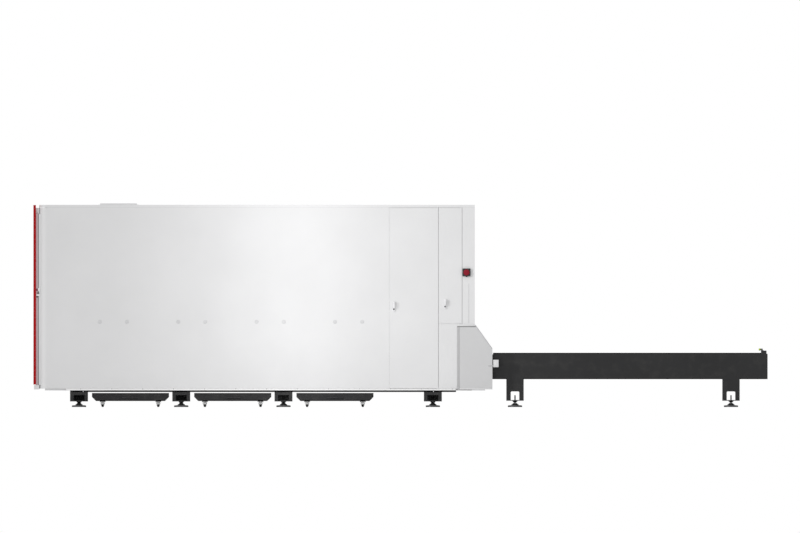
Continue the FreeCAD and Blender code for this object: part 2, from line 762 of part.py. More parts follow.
def table_motor():
    body = box(shaft_x - 45, shaft_x + 45, lift_out, lift_out + 100, shaft_z - 41, shaft_z + 41)
    body = body.makeFillet(8, [e for e in body.Edges if e.BoundBox.YLength > 50])
    bore = rod(shaft_radius + turn_gap, (shaft_x, lift_out - 1, shaft_z),
               (shaft_x, lift_out + 50, shaft_z))
    return [cut(body, [bore])]


def end_stop():
    top = beam_top + stop_height
    block = box(strip_end, overall_length - 12, table_half - table_flange, table_half, beam_top, top)
    rim = [e for e in block.Edges if e.CenterOfMass.z > top - 1]
    return both([block.makeChamfer(4, rim).Solids[0]])


def pallet_sensor():
    """A barrel sensor in its bent bracket, which stands on the near end stop."""
    x = strip_end + 10
    y = -table_half + 30
    base = beam_top + stop_height
    z = base + sensor_radius + 1.5
    foot = box(x, x + 24, y - 14, y + 14, base, base + 3)
    arm = box(x - 4, x, y - 14, y + 14, base, z + sensor_radius)
    hole = rod(sensor_radius + turn_gap, (x - 10, y, z), (x + 5, y, z))
    barrel = rod(sensor_radius, (x - 34, y, z), (x + 10, y, z))
    foot = foot.cut(box(x, x + 11, y - 8, y + 8, base, base + 4)).Solids[0]
    return [cut(fuse([foot, arm]), [hole]), barrel]


sensor_radius = 10.5


# ---- pallets ----------------------------------------------------------------------------
def pallet(x0, track):
    """The pallet's ring, the combs that hold its slats, the bars under them and its axles."""
    across, high = pallet_ring
    z0 = track + pallet_lift
    x1 = x0 + pallet_length
    inside = pallet_half - across
    comb_y = inside - 30
    comb = box(x0 + across, x1 - across, comb_y, comb_y + comb_thick, z0, z0 + comb_height)
    slots = [box(x - comb_slot / 2, x + comb_slot / 2, comb_y - 1, comb_y + comb_thick + 1,
                 z0 + slat_seat, z0 + comb_height + 1) for x in slat_xs(x0)]
    made = [box(x0, x1, inside, pallet_half, z0, z0 + high), cut(comb, slots)]
    z = track + wheel_axle_z
    y = pallet_half + 15 + wheel_width
    for x in (x0 + wheel_from_end, x1 - wheel_from_end):
        axle = [rod(axle_radius, (x, pallet_half, z), (x, y + 3, z))]
        axle.append(rod(axle_radius + 4, (x, y + seat_gap, z), (x, y + 3, z)))
        axle.append(rod(axle_radius + 4, (x, pallet_half, z), (x, pallet_half + 15 - seat_gap, z)))
        made.append(fuse(axle))
    made = both(made)
    for x in (x0, x1 - across):
        made.append(box(x, x + across, -inside, inside, z0, z0 + high))
    for share in (1, 2, 3):
        x = x0 + share * pallet_length / 4
        made.append(box(x - 30, x + 30, 10 - pallet_half, pallet_half - 10,
                        z0 - pallet_bar, z0))
    return made


def slat_xs(x0):
    count = int((pallet_length - 2 * pallet_ring[0] - 40) / slat_pitch) + 1
    start = x0 + (pallet_length - (count - 1) * slat_pitch) / 2
    return [start + i * slat_pitch for i in range(count)]


def slats(x0, track):
    """Saw-edged support slats that stand in the pallet's combs."""
    half = pallet_half - pallet_ring[0] - 15
    z0 = track + pallet_lift + slat_seat
    tip = z0 + slat_height
    pitch, depth = slat_tooth
    count = int(2 * half / pitch)
    start = -count * pitch / 2
    points = [(-half, z0), (-half, tip - depth)]
    for i in range(count):
        points.append((start + i * pitch, tip - depth))
        points.append((start + (i + 0.5) * pitch, tip))
    points += [(start + count * pitch, tip - depth), (half, tip - depth), (half, z0)]
    made = []
    for x in slat_xs(x0):
        corners = [(x - slat_thick / 2, y, z) for y, z in points]
        clean = [c for i, c in enumerate(corners) if i == 0 or c != corners[i - 1]]
        made.append(prism(clean, (slat_thick, 0, 0)))
    return made


def pallet_wheels(x, track):
    z = track + wheel_axle_z
    y0 = pallet_half + 15
    tyre = rod(wheel_radius, (x, y0, z), (x, y0 + wheel_width, z))
    tyre = tyre.makeChamfer(2, [e for e in tyre.Edges if e.Length > 100 and len(e.Vertexes) == 1])
    bore = rod(axle_radius + turn_gap, (x, y0 - 1, z), (x, y0 + wheel_width + 1, z))
    return both([cut(tyre, [bore])])


# ---- gantry -----------------------------------------------------------------------------
gantry_half = bed_in + 110
gantry_z = (bed_top + 70, bed_top + 340)
beam_half = 100.0
gantry_wall = 8.0
foot_plate = (gantry_half - 85, gantry_half)
mount_y = (gantry_half - 55, gantry_half - 47)
pinion_z = rack_pitch_z + pinion_radius


def gantry_beam():
    """The box beam on its foot plates, with the plates that its two drive motors bolt to."""
    x = gantry_x
    place = (x - beam_half, x + beam_half, -gantry_half, gantry_half, *gantry_z)
    parts = [box(*place)]
    holes = [bore_of(*place, 1, gantry_wall)]
    for side in (1, -1):
        foot = box(x - 200, x + 200, *foot_plate, bed_top + 48, gantry_z[0])
        bracket = prism_y([(x + 90, gantry_z[0] - 1), (x + 200.5, gantry_z[0] - 1),
                           (x + 200.5, bed_top + 30), (x + 315, bed_top + 30),
                           (x + 315, gantry_z[0] + 50), (x + 90, gantry_z[0] + 50)], *mount_y)
        parts += [on_side(side, foot), on_side(side, bracket)]
        hole = rod(axle_radius + 2, (pinion_x, mount_y[0] - 1, pinion_z),
                   (pinion_x, mount_y[1] + 1, pinion_z))
        holes.append(on_side(side, hole))
    return [cut(fuse(parts), holes)]


def guide_blocks():
    made = []
    for x in (gantry_x - 140, gantry_x + 140):
        block = box(x - 55, x + 55, rail_y - 30, rail_y + 30, bed_top + 8, bed_top + 48)
        slot = box(x - 60, x + 60, rail_y - rail_width / 2 - seat_gap,
                   rail_y + rail_width / 2 + seat_gap, bed_top, bed_top + rail_height + seat_gap)
        made.append(cut(block, [slot]))
    return both(made)


def gantry_motors():
    half = motor_side / 2
    body = box(pinion_x - half, pinion_x + half, mount_y[0] - 155, mount_y[0],
               pinion_z - half, pinion_z + half)
    body = body.makeFillet(6, [e for e in body.Edges if e.BoundBox.YLength > 100])
    bore = rod(axle_radius + turn_gap, (pinion_x, mount_y[0] - 15, pinion_z),
               (pinion_x, mount_y[0] + 1, pinion_z))
    return both([cut(body, [bore])])


def gantry_pinions():
    outline = [(pinion_x + a, pinion_z + b) for a, b in pinion(-math.pi / 2)]
    gear = prism_y(outline, *rack_y)
    shaft = rod(axle_radius, (pinion_x, mount_y[0] - 12, pinion_z),
                (pinion_x, rack_y[0] + 1, pinion_z))
    return both([fuse([gear, shaft])])


# ---- carriage and cutting head ----------------------------------------------------------
face_x = gantry_x - beam_half
beam_rail_z = (gantry_z[0] + 50, gantry_z[0] + 242)
beam_rail_depth = 22.0
beam_pitch_z = gantry_z[0] + 150
carriage_pinion_y = 100.0
carriage_pinion_z = beam_pitch_z + pinion_radius
plate_x = (face_x - 50, face_x - 35)
carriage_z = (gantry_z[0], gantry_z[0] + 390)
slide_rail_y = (-90.0, 10.0)
slide_rail_depth = 22.0
slide_rail_width = 20.0
screw_x = plate_x[0] - 20
screw_y = sum(slide_rail_y) / 2
beam_teeth = 2 * int((carriage_stroke + 60) / tooth_pitch) + 1


def beam_rails_and_rack():
    made = []
    length = carriage_stroke + 160
    for z in beam_rail_z:
        made.append(box(face_x - beam_rail_depth, face_x, -length, length,
                        z - rail_width / 2, z + rail_width / 2))
    first = carriage_pinion_y + tooth_pitch / 2 - tooth_pitch * ((beam_teeth + 1) // 2)
    outline = rack_outline(first, beam_teeth, beam_pitch_z, beam_pitch_z - 25)
    made.append(prism([(face_x - rack_width, y, z) for y, z in outline], (rack_width, 0, 0)))
    return made


def head_carriage():
    """The carriage plate with its guide blocks, and the two upright rails bolted to it."""
    plate = box(*plate_x, -150, 150, *carriage_z)
    parts = [plate]
    slots = []
    for z in beam_rail_z:
        for y in (-110, 110):
            parts.append(box(plate_x[1], face_x - 4, y - 38, y + 38, z - 25, z + 25))
        slots.append(box(face_x - beam_rail_depth - seat_gap, face_x + 1, -200, 200,
                         z - rail_width / 2 - seat_gap, z + rail_width / 2 + seat_gap))
    bearing_z = carriage_z[1] - 20
    parts.append(box(screw_x - 25, plate_x[0], screw_y - 22, screw_y + 22,
                     bearing_z, carriage_z[1]))
    slots.append(rod(screw_radius + turn_gap, (screw_x, screw_y, bearing_z - 1),
                     (screw_x, screw_y, carriage_z[1] + 1)))
    slots.append(rod(axle_radius + 2, (plate_x[0] - 1, carriage_pinion_y, carriage_pinion_z),
                     (plate_x[1] + 1, carriage_pinion_y, carriage_pinion_z)))
    rails = [box(plate_x[0] - slide_rail_depth, plate_x[0], y - slide_rail_width / 2,
                 y + slide_rail_width / 2, carriage_z[0] + 10, bearing_z - 5)
             for y in slide_rail_y]
    return [cut(fuse(parts), slots)] + rails


def carriage_motors():
    half = motor_side / 2
    x, y, z = plate_x[0], carriage_pinion_y, carriage_pinion_z
    drive = box(x - 150, x, y - half, y + half, z - half, z + half)
    drive = drive.makeFillet(6, [e for e in drive.Edges if e.BoundBox.XLength > 100])
    drive = cut(drive, [rod(axle_radius + turn_gap, (x - 15, y, z), (x + 1, y, z))])
    top = carriage_z[1]
    lift = box(screw_x - 35, screw_x + 35, screw_y - 35, screw_y + 35, top, top + 100)
    lift = lift.makeFillet(6, [e for e in lift.Edges if e.BoundBox.ZLength > 90])
    bore = rod(screw_radius + turn_gap, (screw_x, screw_y, top - 1), (screw_x, screw_y, top + 13))
    return [drive, cut(lift, [bore])]


def carriage_pinion():
    y, z = carriage_pinion_y, carriage_pinion_z
    outline = [(face_x - 2 - rack_width, y + a, z + b) for a, b in pinion(-math.pi / 2)]
    gear = prism(outline, (rack_width, 0, 0))
    shaft = rod(axle_radius, (plate_x[0] - 12, y, z), (face_x - 2 - rack_width + 1, y, z))
    return [fuse([gear, shaft])]


def lift_screw():
    return [rod(screw_radius, (screw_x, screw_y, carriage_z[0] + 30),
                (screw_x, screw_y, carriage_z[1] + 10))]


slide_x = (plate_x[0] - 60, plate_x[0] - 40)
slide_z = (gantry_z[0] + 45, gantry_z[0] + 345)
head_x = slide_x[0] - 35
nozzle_tip = gantry_z[0] - 50


def head_slide():
    parts = [box(*slide_x, slide_rail_y[0] - 20, slide_rail_y[1] + 20, *slide_z)]
    slots = []
    for y in slide_rail_y:
        for z in (slide_z[1] - 160, slide_z[1] - 50):
            parts.append(box(slide_x[1], plate_x[0] - 8, y - 18, y + 18, z, z + 50))
        slots.append(box(plate_x[0] - slide_rail_depth - seat_gap, plate_x[0],
                         y - slide_rail_width / 2 - seat_gap, y + slide_rail_width / 2 + seat_gap,
                         0, cabin_top))
    parts.append(box(slide_x[1], screw_x + 14, screw_y - 18, screw_y + 18,
                     slide_z[1] - 105, slide_z[1] - 60))
    slots.append(rod(screw_radius + 2 * turn_gap, (screw_x, screw_y, 0),
                     (screw_x, screw_y, cabin_top)))
    return [cut(fuse(parts), slots)]


def cutting_head():
    """The head's body with its collimator above and sensor cone below, and the nozzle."""
    z0 = slide_z[0]
    body = box(head_x - 32, slide_x[0], screw_y - 32, screw_y + 32, z0 + 20, z0 + 240)
    body = body.makeFillet(8, [e for e in body.Edges if e.BoundBox.ZLength > 200])
    collimator = rod(25, (head_x, screw_y, z0 + 235), (head_x, screw_y, z0 + 360))
    lens = rod(30, (head_x, screw_y, z0 - 35), (head_x, screw_y, z0 + 25))
    cone = Part.makeCone(15, 30, 35, V(head_x, screw_y, nozzle_tip + 25), V(0, 0, 1))
    nozzle = Part.makeCone(4, 14, 25, V(head_x, screw_y, nozzle_tip), V(0, 0, 1))
    jet = rod(1.5, (head_x, screw_y, nozzle_tip - 1), (head_x, screw_y, nozzle_tip + 26))
    return [fuse([body, collimator, lens, cone]), cut(nozzle, [jet])]


# ---- slag drawers -----------------------------------------------------------------------
drawer_length = min(foot_xs[i + 1] - foot_xs[i] for i in range(3)) - drawer_from_foot - drawer_to_foot
drawer_xs = [(foot_xs[i] + drawer_from_foot, foot_xs[i] + drawer_from_foot + drawer_length)
             for i in range(3)]
caster_ys = (-drawer_front + caster_in[1], drawer_back - caster_in[1])


def slag_drawer(x0, x1):
    z0, z1 = drawer_z
    c = drawer_chamfer
    w = drawer_wall
    k = w * math.tan(math.pi / 8)
    outer = [(x0, z1), (x0, z0 + c), (x0 + c, z0), (x1 - c, z0), (x1, z0 + c), (x1, z1)]
    inner = [(x0 + w, z1 + 1), (x0 + w, z0 + c + k), (x0 + c + k, z0 + w),
             (x1 - c - k, z0 + w), (x1 - w, z0 + c + k), (x1 - w, z1 + 1)]
    tray = prism_y(outer, -drawer_front, drawer_back)
    tray = cut(tray, [prism_y(inner, -drawer_front + w, drawer_back - w)])
    return [tray] + [fork(x, y) for x in caster_xs(x0, x1) for y in caster_ys]


def caster_xs(x0, x1):
    return (x0 + caster_in[0], x1 - caster_in[0])


def fork(x, y):
    top = drawer_z[0]
    gap = caster_width / 2 + 1
    parts = [box(x - 31, x + 31, y - 31, y + 31, top - 10, top)]
    for side in (-1, 1):
        leg = sorted((x + side * gap, x + side * (gap + 4)))
        parts.append(box(*leg, y - 14, y + 14, 14, top - 9))
    parts.append(rod(caster_axle, (x - gap - 1, y, caster_radius), (x + gap + 1, y, caster_radius)))
    return fuse(parts)


def drawer_wheels(x0, x1, y):
    made = []
    for x in caster_xs(x0, x1):
        half = caster_width / 2
        wheel = rod(caster_radius, (x - half, y, caster_radius), (x + half, y, caster_radius))
        wheel = wheel.makeFillet(3, [e for e in wheel.Edges if len(e.Vertexes) == 1])
        bore = rod(caster_axle + turn_gap, (x - half - 1, y, caster_radius),
                   (x + half + 1, y, caster_radius))
        made.append(cut(wheel, [bore]))
    return made


# ---- levelling feet ---------------------------------------------------------------------
def levelling_foot(x, y, seat):
    """A pad with its stud in one piece, and the cone nut that carries the machine at seat."""
    profile = [(0, 0), (foot_pad_radius, 0), (foot_pad_radius, 10), (74, 18), (42, 26),
               (42, 36), (38, 40), (stud_radius, 40), (stud_radius, seat + 62), (0, seat + 62)]
    corners = [V(r, 0, z) for r, z in profile]
    face = Part.Face(Part.makePolygon(corners + corners[:1]))
    pad = face.revolve(V(0, 0, 0), V(0, 0, 1), 360)
    nut = [(stud_radius + turn_gap, seat - 20), (20, seat - 20), (30, seat - 8), (30, seat),
           (stud_radius + turn_gap, seat)]
    corners = [V(r, 0, z) for r, z in nut]
    nut = Part.Face(Part.makePolygon(corners + corners[:1])).revolve(V(0, 0, 0), V(0, 0, 1), 360)
    for solid in (pad, nut):
        solid.translate(V(x, y, 0))
    return [pad, nut]


def levelling_feet():
    made = []
    for side in (-1, 1):
        for x in foot_xs:
            made += levelling_foot(x, side * foot_y, base_bottom - foot_box[2])
        for x in leg_xs:
            made += levelling_foot(x, side * leg_y, leg_bottom)
    return made


# ---- all the nodes ----------------------------------------------------------------------
def nodes():
    made = {
        "machine_bed": machine_bed(),
        "levelling_feet": levelling_feet(),
        "bed_rails_and_racks": bed_rails_and_racks(),
        "cabin_frame": cabin_frame(),
        "side_panel_near": [side_panel(-1, wide_door_x[0] - 2, plug_xs)],
        "side_panel_far": [side_panel(1, narrow_door_x[1] + 3.2)],
        "panel_plugs": panel_plugs(),
        "rear_wall": rear_wall(),
        "rear_hood": rear_hood(),
        "roof_panel": roof_panel(),
        "roof_vent": roof_vent(),
        "front_frame": front_frame(),
        "front_fascia": front_fascia(),
        "front_latch": front_latch(),
        "control_screen": control_screen(),
        "front_door": front_door(),
        "front_window": front_window(),
        "front_handle": front_handle(),
        "wide_door": pan_door(*wide_door_x, *door_z, door_handles[0]),
        "wide_door_handle": lever_handle(door_handles[0]),
        "narrow_door": pan_door(*narrow_door_x, narrow_door_bottom, door_z[1], door_handles[1]),
        "narrow_door_handle": lever_handle(door_handles[1]),
        "stop_box": stop_box(),
        "stop_button": stop_button(),
        "docking_brackets": docking_brackets(),
        "table_frame": table_frame(),
        "lift_frame": lift_frame(),
        "lift_cylinders": lift_cylinders(),
        "table_shaft": table_shaft(),
        "table_motor": table_motor(),
        "end_stop": end_stop(),
        "pallet_sensor": pallet_sensor(),
        "gantry_beam": gantry_beam(),
        "guide_blocks": guide_blocks(),
        "gantry_motors": gantry_motors(),
        "gantry_pinions": gantry_pinions(),
        "beam_rails_and_rack": beam_rails_and_rack(),
        "head_carriage": head_carriage(),
        "carriage_motors": carriage_motors(),
        "carriage_pinion": carriage_pinion(),
        "lift_screw": lift_screw(),
        "head_slide": head_slide(),
        "cutting_head": cutting_head(),
    }
    for name, x0, track in (("inner", inner_x, track_top), ("outer", outer_x, upper_track)):
        made[name + "_pallet"] = pallet(x0, track)
        made[name + "_slats"] = slats(x0, track)
        made[name + "_wheels_front"] = pallet_wheels(x0 + wheel_from_end, track)
        made[name + "_wheels_rear"] = pallet_wheels(x0 + pallet_length - wheel_from_end, track)
    for i, (x0, x1) in enumerate(drawer_xs, 1):
        made[f"slag_drawer_{i}"] = slag_drawer(x0, x1)
        made[f"drawer_wheels_front_{i}"] = drawer_wheels(x0, x1, caster_ys[0])
        made[f"drawer_wheels_rear_{i}"] = drawer_wheels(x0, x1, caster_ys[1])
    return made


def export():
    os.makedirs("parts", exist_ok=True)
    for name, solids in nodes().items():
        shape = Part.makeCompound(solids) if len(solids) > 1 else solids[0]
        shape.translate(V(-overall_length / 2, 0, 0))
        shape.exportStep(f"parts/{name}.step")


export()
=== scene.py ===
import json
import math

import bmesh
import bpy
from mathutils import Matrix, Vector


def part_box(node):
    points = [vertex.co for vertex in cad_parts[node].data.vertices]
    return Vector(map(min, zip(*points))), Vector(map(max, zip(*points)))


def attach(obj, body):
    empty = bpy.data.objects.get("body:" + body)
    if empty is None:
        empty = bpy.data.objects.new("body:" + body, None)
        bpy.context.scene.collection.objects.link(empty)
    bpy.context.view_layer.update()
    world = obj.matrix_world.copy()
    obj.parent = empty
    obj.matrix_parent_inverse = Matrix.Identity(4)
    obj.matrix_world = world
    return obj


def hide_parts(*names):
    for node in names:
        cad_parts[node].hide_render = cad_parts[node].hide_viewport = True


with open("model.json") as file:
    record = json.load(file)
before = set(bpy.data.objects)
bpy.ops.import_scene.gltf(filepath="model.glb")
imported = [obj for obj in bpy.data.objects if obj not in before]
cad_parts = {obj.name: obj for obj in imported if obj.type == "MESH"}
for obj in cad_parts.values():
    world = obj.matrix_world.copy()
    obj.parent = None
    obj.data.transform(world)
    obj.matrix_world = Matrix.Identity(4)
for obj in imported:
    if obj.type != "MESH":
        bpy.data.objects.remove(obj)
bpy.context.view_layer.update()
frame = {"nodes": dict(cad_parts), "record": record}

NODES = frame["nodes"]


# ---- finishes ---------------------------------------------------------------------------
def new_material(name):
    material = bpy.data.materials.new(name)
    material.use_nodes = True
    tree = material.node_tree
    return material, tree, tree.nodes["Principled BSDF"]


def frame_point(tree, stretch=(1, 1, 1)):
    """A point in the machine's own frame, so a pattern stays put on every piece."""
    place = tree.nodes.new("ShaderNodeTexCoord")
    mapping = tree.nodes.new("ShaderNodeMapping")
    mapping.inputs["Scale"].default_value = stretch
    tree.links.new(place.outputs["Object"], mapping.inputs["Vector"])
    return mapping.outputs["Vector"]


def noise(tree, scale, detail=3.0, stretch=(1, 1, 1)):
    grain = tree.nodes.new("ShaderNodeTexNoise")
    grain.inputs["Scale"].default_value = scale
    grain.inputs["Detail"].default_value = detail
    tree.links.new(frame_point(tree, stretch), grain.inputs["Vector"])
    return grain.outputs["Fac"]


def flakes(tree, scale):
    """Flat patches with sharp borders, as the spangle of a zinc coating has."""
    cells = tree.nodes.new("ShaderNodeTexVoronoi")
    cells.inputs["Scale"].default_value = scale
    tree.links.new(frame_point(tree), cells.inputs["Vector"])
    split = tree.nodes.new("ShaderNodeSeparateColor")
    tree.links.new(cells.outputs["Color"], split.inputs["Color"])
    return split.outputs["Red"]


def spread(tree, source, low, high, start=0.3, end=0.7):
    """Maps a pattern's range from start to end on to low to high."""
    ramp = tree.nodes.new("ShaderNodeMapRange")
    ramp.inputs["From Min"].default_value = start
    ramp.inputs["From Max"].default_value = end
    ramp.inputs["To Min"].default_value = low
    ramp.inputs["To Max"].default_value = high
    tree.links.new(source, ramp.inputs["Value"])
    return ramp.outputs["Result"]


def blend_colors(tree, amount, dark, light):
    """Mixes two colours, each a plain colour or another pattern's output."""
    mix = tree.nodes.new("ShaderNodeMix")
    mix.data_type = "RGBA"
    for name, color in (("A", dark), ("B", light)):
        if isinstance(color, tuple):
            mix.inputs[name].default_value = (*color, 1)
        else:
            tree.links.new(color, mix.inputs[name])
    tree.links.new(amount, mix.inputs["Factor"])
    return mix.outputs["Result"]


def tint(tree, source, dark, light):
    return blend_colors(tree, spread(tree, source, 0, 1), dark, light)


def bump(tree, shader, source, strength, depth):
    node = tree.nodes.new("ShaderNodeBump")
    node.inputs["Strength"].default_value = strength
    node.inputs["Distance"].default_value = depth
    tree.links.new(source, node.inputs["Height"])
    tree.links.new(node.outputs["Normal"], shader.inputs["Normal"])


def shade(color, factor):
    return tuple(min(1.0, c * factor) for c in color)


def powder_coat(name, color, rough=0.45, vary=0.02, specular=0.4, dust=0.0):
    """Sprayed and baked powder: a fine orange peel, a tone that drifts, and settled dust."""
    material, tree, shader = new_material(name)
    drift = noise(tree, 1.7)
    paint = tint(tree, drift, shade(color, 1 - vary), shade(color, 1 + vary))
    if dust:
        smudge = spread(tree, noise(tree, 9.0, 6.0), 0, dust, 0.5, 0.8)
        paint = blend_colors(tree, smudge, paint, (0.30, 0.28, 0.25))
    tree.links.new(paint, shader.inputs["Base Color"])
    peel = noise(tree, 420.0, 2.0)
    tree.links.new(spread(tree, peel, rough - 0.04, rough + 0.05), shader.inputs["Roughness"])
    bump(tree, shader, peel, 0.18, 0.0004)
    shader.inputs["Specular IOR Level"].default_value = specular
    return material


def metal(name, color, rough, stretch=(1, 1, 1), scale=90.0, vary=0.12, depth=0.0002):
    """Bare metal with the fine lines of its rolling or grinding."""
    material, tree, shader = new_material(name)
    lines = noise(tree, scale, 4.0, stretch)
    tree.links.new(tint(tree, lines, shade(color, 1 - vary), shade(color, 1 + vary)),
                   shader.inputs["Base Color"])
    tree.links.new(spread(tree, lines, rough - 0.07, rough + 0.09), shader.inputs["Roughness"])
    bump(tree, shader, lines, 0.15, depth)
    shader.inputs["Metallic"].default_value = 1.0
    return material


def plated(name, color, rough):
    """Zinc plating: a faint spangle under fine handling marks."""
    material, tree, shader = new_material(name)
    spangle = spread(tree, flakes(tree, 140.0), 0, 1, 0.0, 1.0)
    tree.links.new(blend_colors(tree, spangle, shade(color, 0.9), shade(color, 1.06)),
                   shader.inputs["Base Color"])
    marks = noise(tree, 260.0, 4.0)
    tree.links.new(spread(tree, marks, rough - 0.06, rough + 0.1), shader.inputs["Roughness"])
    bump(tree, shader, marks, 0.1, 0.0002)
    shader.inputs["Metallic"].default_value = 1.0
    return material


def burnt_steel(name, clean, burnt, rust):
    """Slats that the beam has cut into: blued and burnt, with rust and spatter."""
    material, tree, shader = new_material(name)
    scorch = spread(tree, noise(tree, 34.0, 5.0), 0, 1, 0.40, 0.64)
    rusty = spread(tree, noise(tree, 80.0, 6.0), 0, 0.7, 0.58, 0.78)
    metal_tone = blend_colors(tree, scorch, clean, burnt)
    tree.links.new(blend_colors(tree, rusty, metal_tone, rust), shader.inputs["Base Color"])
    spatter = noise(tree, 190.0, 5.0)
    tree.links.new(spread(tree, spatter, 0.35, 0.7), shader.inputs["Roughness"])
    tree.links.new(spread(tree, rusty, 0.95, 0.35, 0.0, 0.8), shader.inputs["Metallic"])
    bump(tree, shader, spatter, 0.4, 0.0008)
    return material


def moulded(name, color, rough, coat=0.0, specular=0.5):
    """Injection-moulded plastic or rubber with a light spark-eroded grain."""
    material, tree, shader = new_material(name)
    grain = noise(tree, 650.0, 2.0)
    patch = noise(tree, 14.0)
    tree.links.new(tint(tree, patch, shade(color, 0.95), shade(color, 1.05)),
                   shader.inputs["Base Color"])
    tree.links.new(spread(tree, grain, rough - 0.05, rough + 0.05), shader.inputs["Roughness"])
    bump(tree, shader, grain, 0.12, 0.0003)
    shader.inputs["Coat Weight"].default_value = coat
    shader.inputs["Specular IOR Level"].default_value = specular
    return material


def tinted_glass(name, color):
    """Laser-safe glazing: a dark green-brown pane with a faint waviness."""
    material, tree, shader = new_material(name)
    wave = noise(tree, 3.0)
    tree.links.new(tint(tree, wave, shade(color, 0.9), shade(color, 1.1)),
                   shader.inputs["Base Color"])
    tree.links.new(spread(tree, wave, 0.04, 0.08), shader.inputs["Roughness"])
    shader.inputs["Transmission Weight"].default_value = 0.75
    shader.inputs["IOR"].default_value = 1.49
    bump(tree, shader, wave, 0.05, 0.001)
    return material


def lamp_glow(name, color, strength):
    """A frosted cover with the light behind it."""
    material, tree, shader = new_material(name)
    patch = noise(tree, 60.0)
    glow = tint(tree, patch, shade(color, 0.94), shade(color, 1.0))
    tree.links.new(glow, shader.inputs["Base Color"])
    tree.links.new(glow, shader.inputs["Emission Color"])
    shader.inputs["Emission Strength"].default_value = strength
    shader.inputs["Roughness"].default_value = 0.4
    return material


def bands(tree, source, low, high, stops):
    """Plain colour fields across a height or width that runs from low to high."""
    ramp = tree.nodes.new("ShaderNodeValToRGB")
    ramp.color_ramp.interpolation = "CONSTANT"
    points = ramp.color_ramp.elements
    while len(points) < len(stops):
        points.new(0.5)
    for point, (place, color) in zip(points, stops):
        point.position = place
        point.color = (*color, 1)
    tree.links.new(spread(tree, source, 0, 1, low, high), ramp.inputs["Fac"])
    return ramp.outputs["Color"]


def screen_fields(name, low, high):
    """A lit display: a title bar, a plain work area, a column of keys and a status bar."""
    material, tree, shader = new_material(name)
    split = tree.nodes.new("ShaderNodeSeparateXYZ")
    tree.links.new(frame_point(tree), split.inputs["Vector"])
    blue, deep = (0.03, 0.10, 0.22), (0.006, 0.010, 0.018)
    pale, green = (0.20, 0.24, 0.28), (0.02, 0.20, 0.08)
    tall = bands(tree, split.outputs["Z"], low[2], high[2],
                 [(0.0, blue), (0.10, deep), (0.90, blue)])
    keys = bands(tree, split.outputs["Z"], low[2], high[2],
                 [(0.0, blue), (0.10, deep), (0.14, pale), (0.24, deep), (0.28, pale),
                  (0.38, deep), (0.42, pale), (0.52, deep), (0.56, green), (0.66, deep),
                  (0.70, pale), (0.80, deep), (0.90, blue)])
    column = bands(tree, split.outputs["Y"], low[1], high[1],
                   [(0.0, (0, 0, 0)), (0.04, (1, 1, 1)), (0.16, (0, 0, 0))])
    fields = blend_colors(tree, column, tall, keys)
    tree.links.new(fields, shader.inputs["Base Color"])
    tree.links.new(fields, shader.inputs["Emission Color"])
    shader.inputs["Emission Strength"].default_value = 0.8
    smear = noise(tree, 18.0, 4.0)
    tree.links.new(spread(tree, smear, 0.10, 0.22), shader.inputs["Roughness"])
    return material


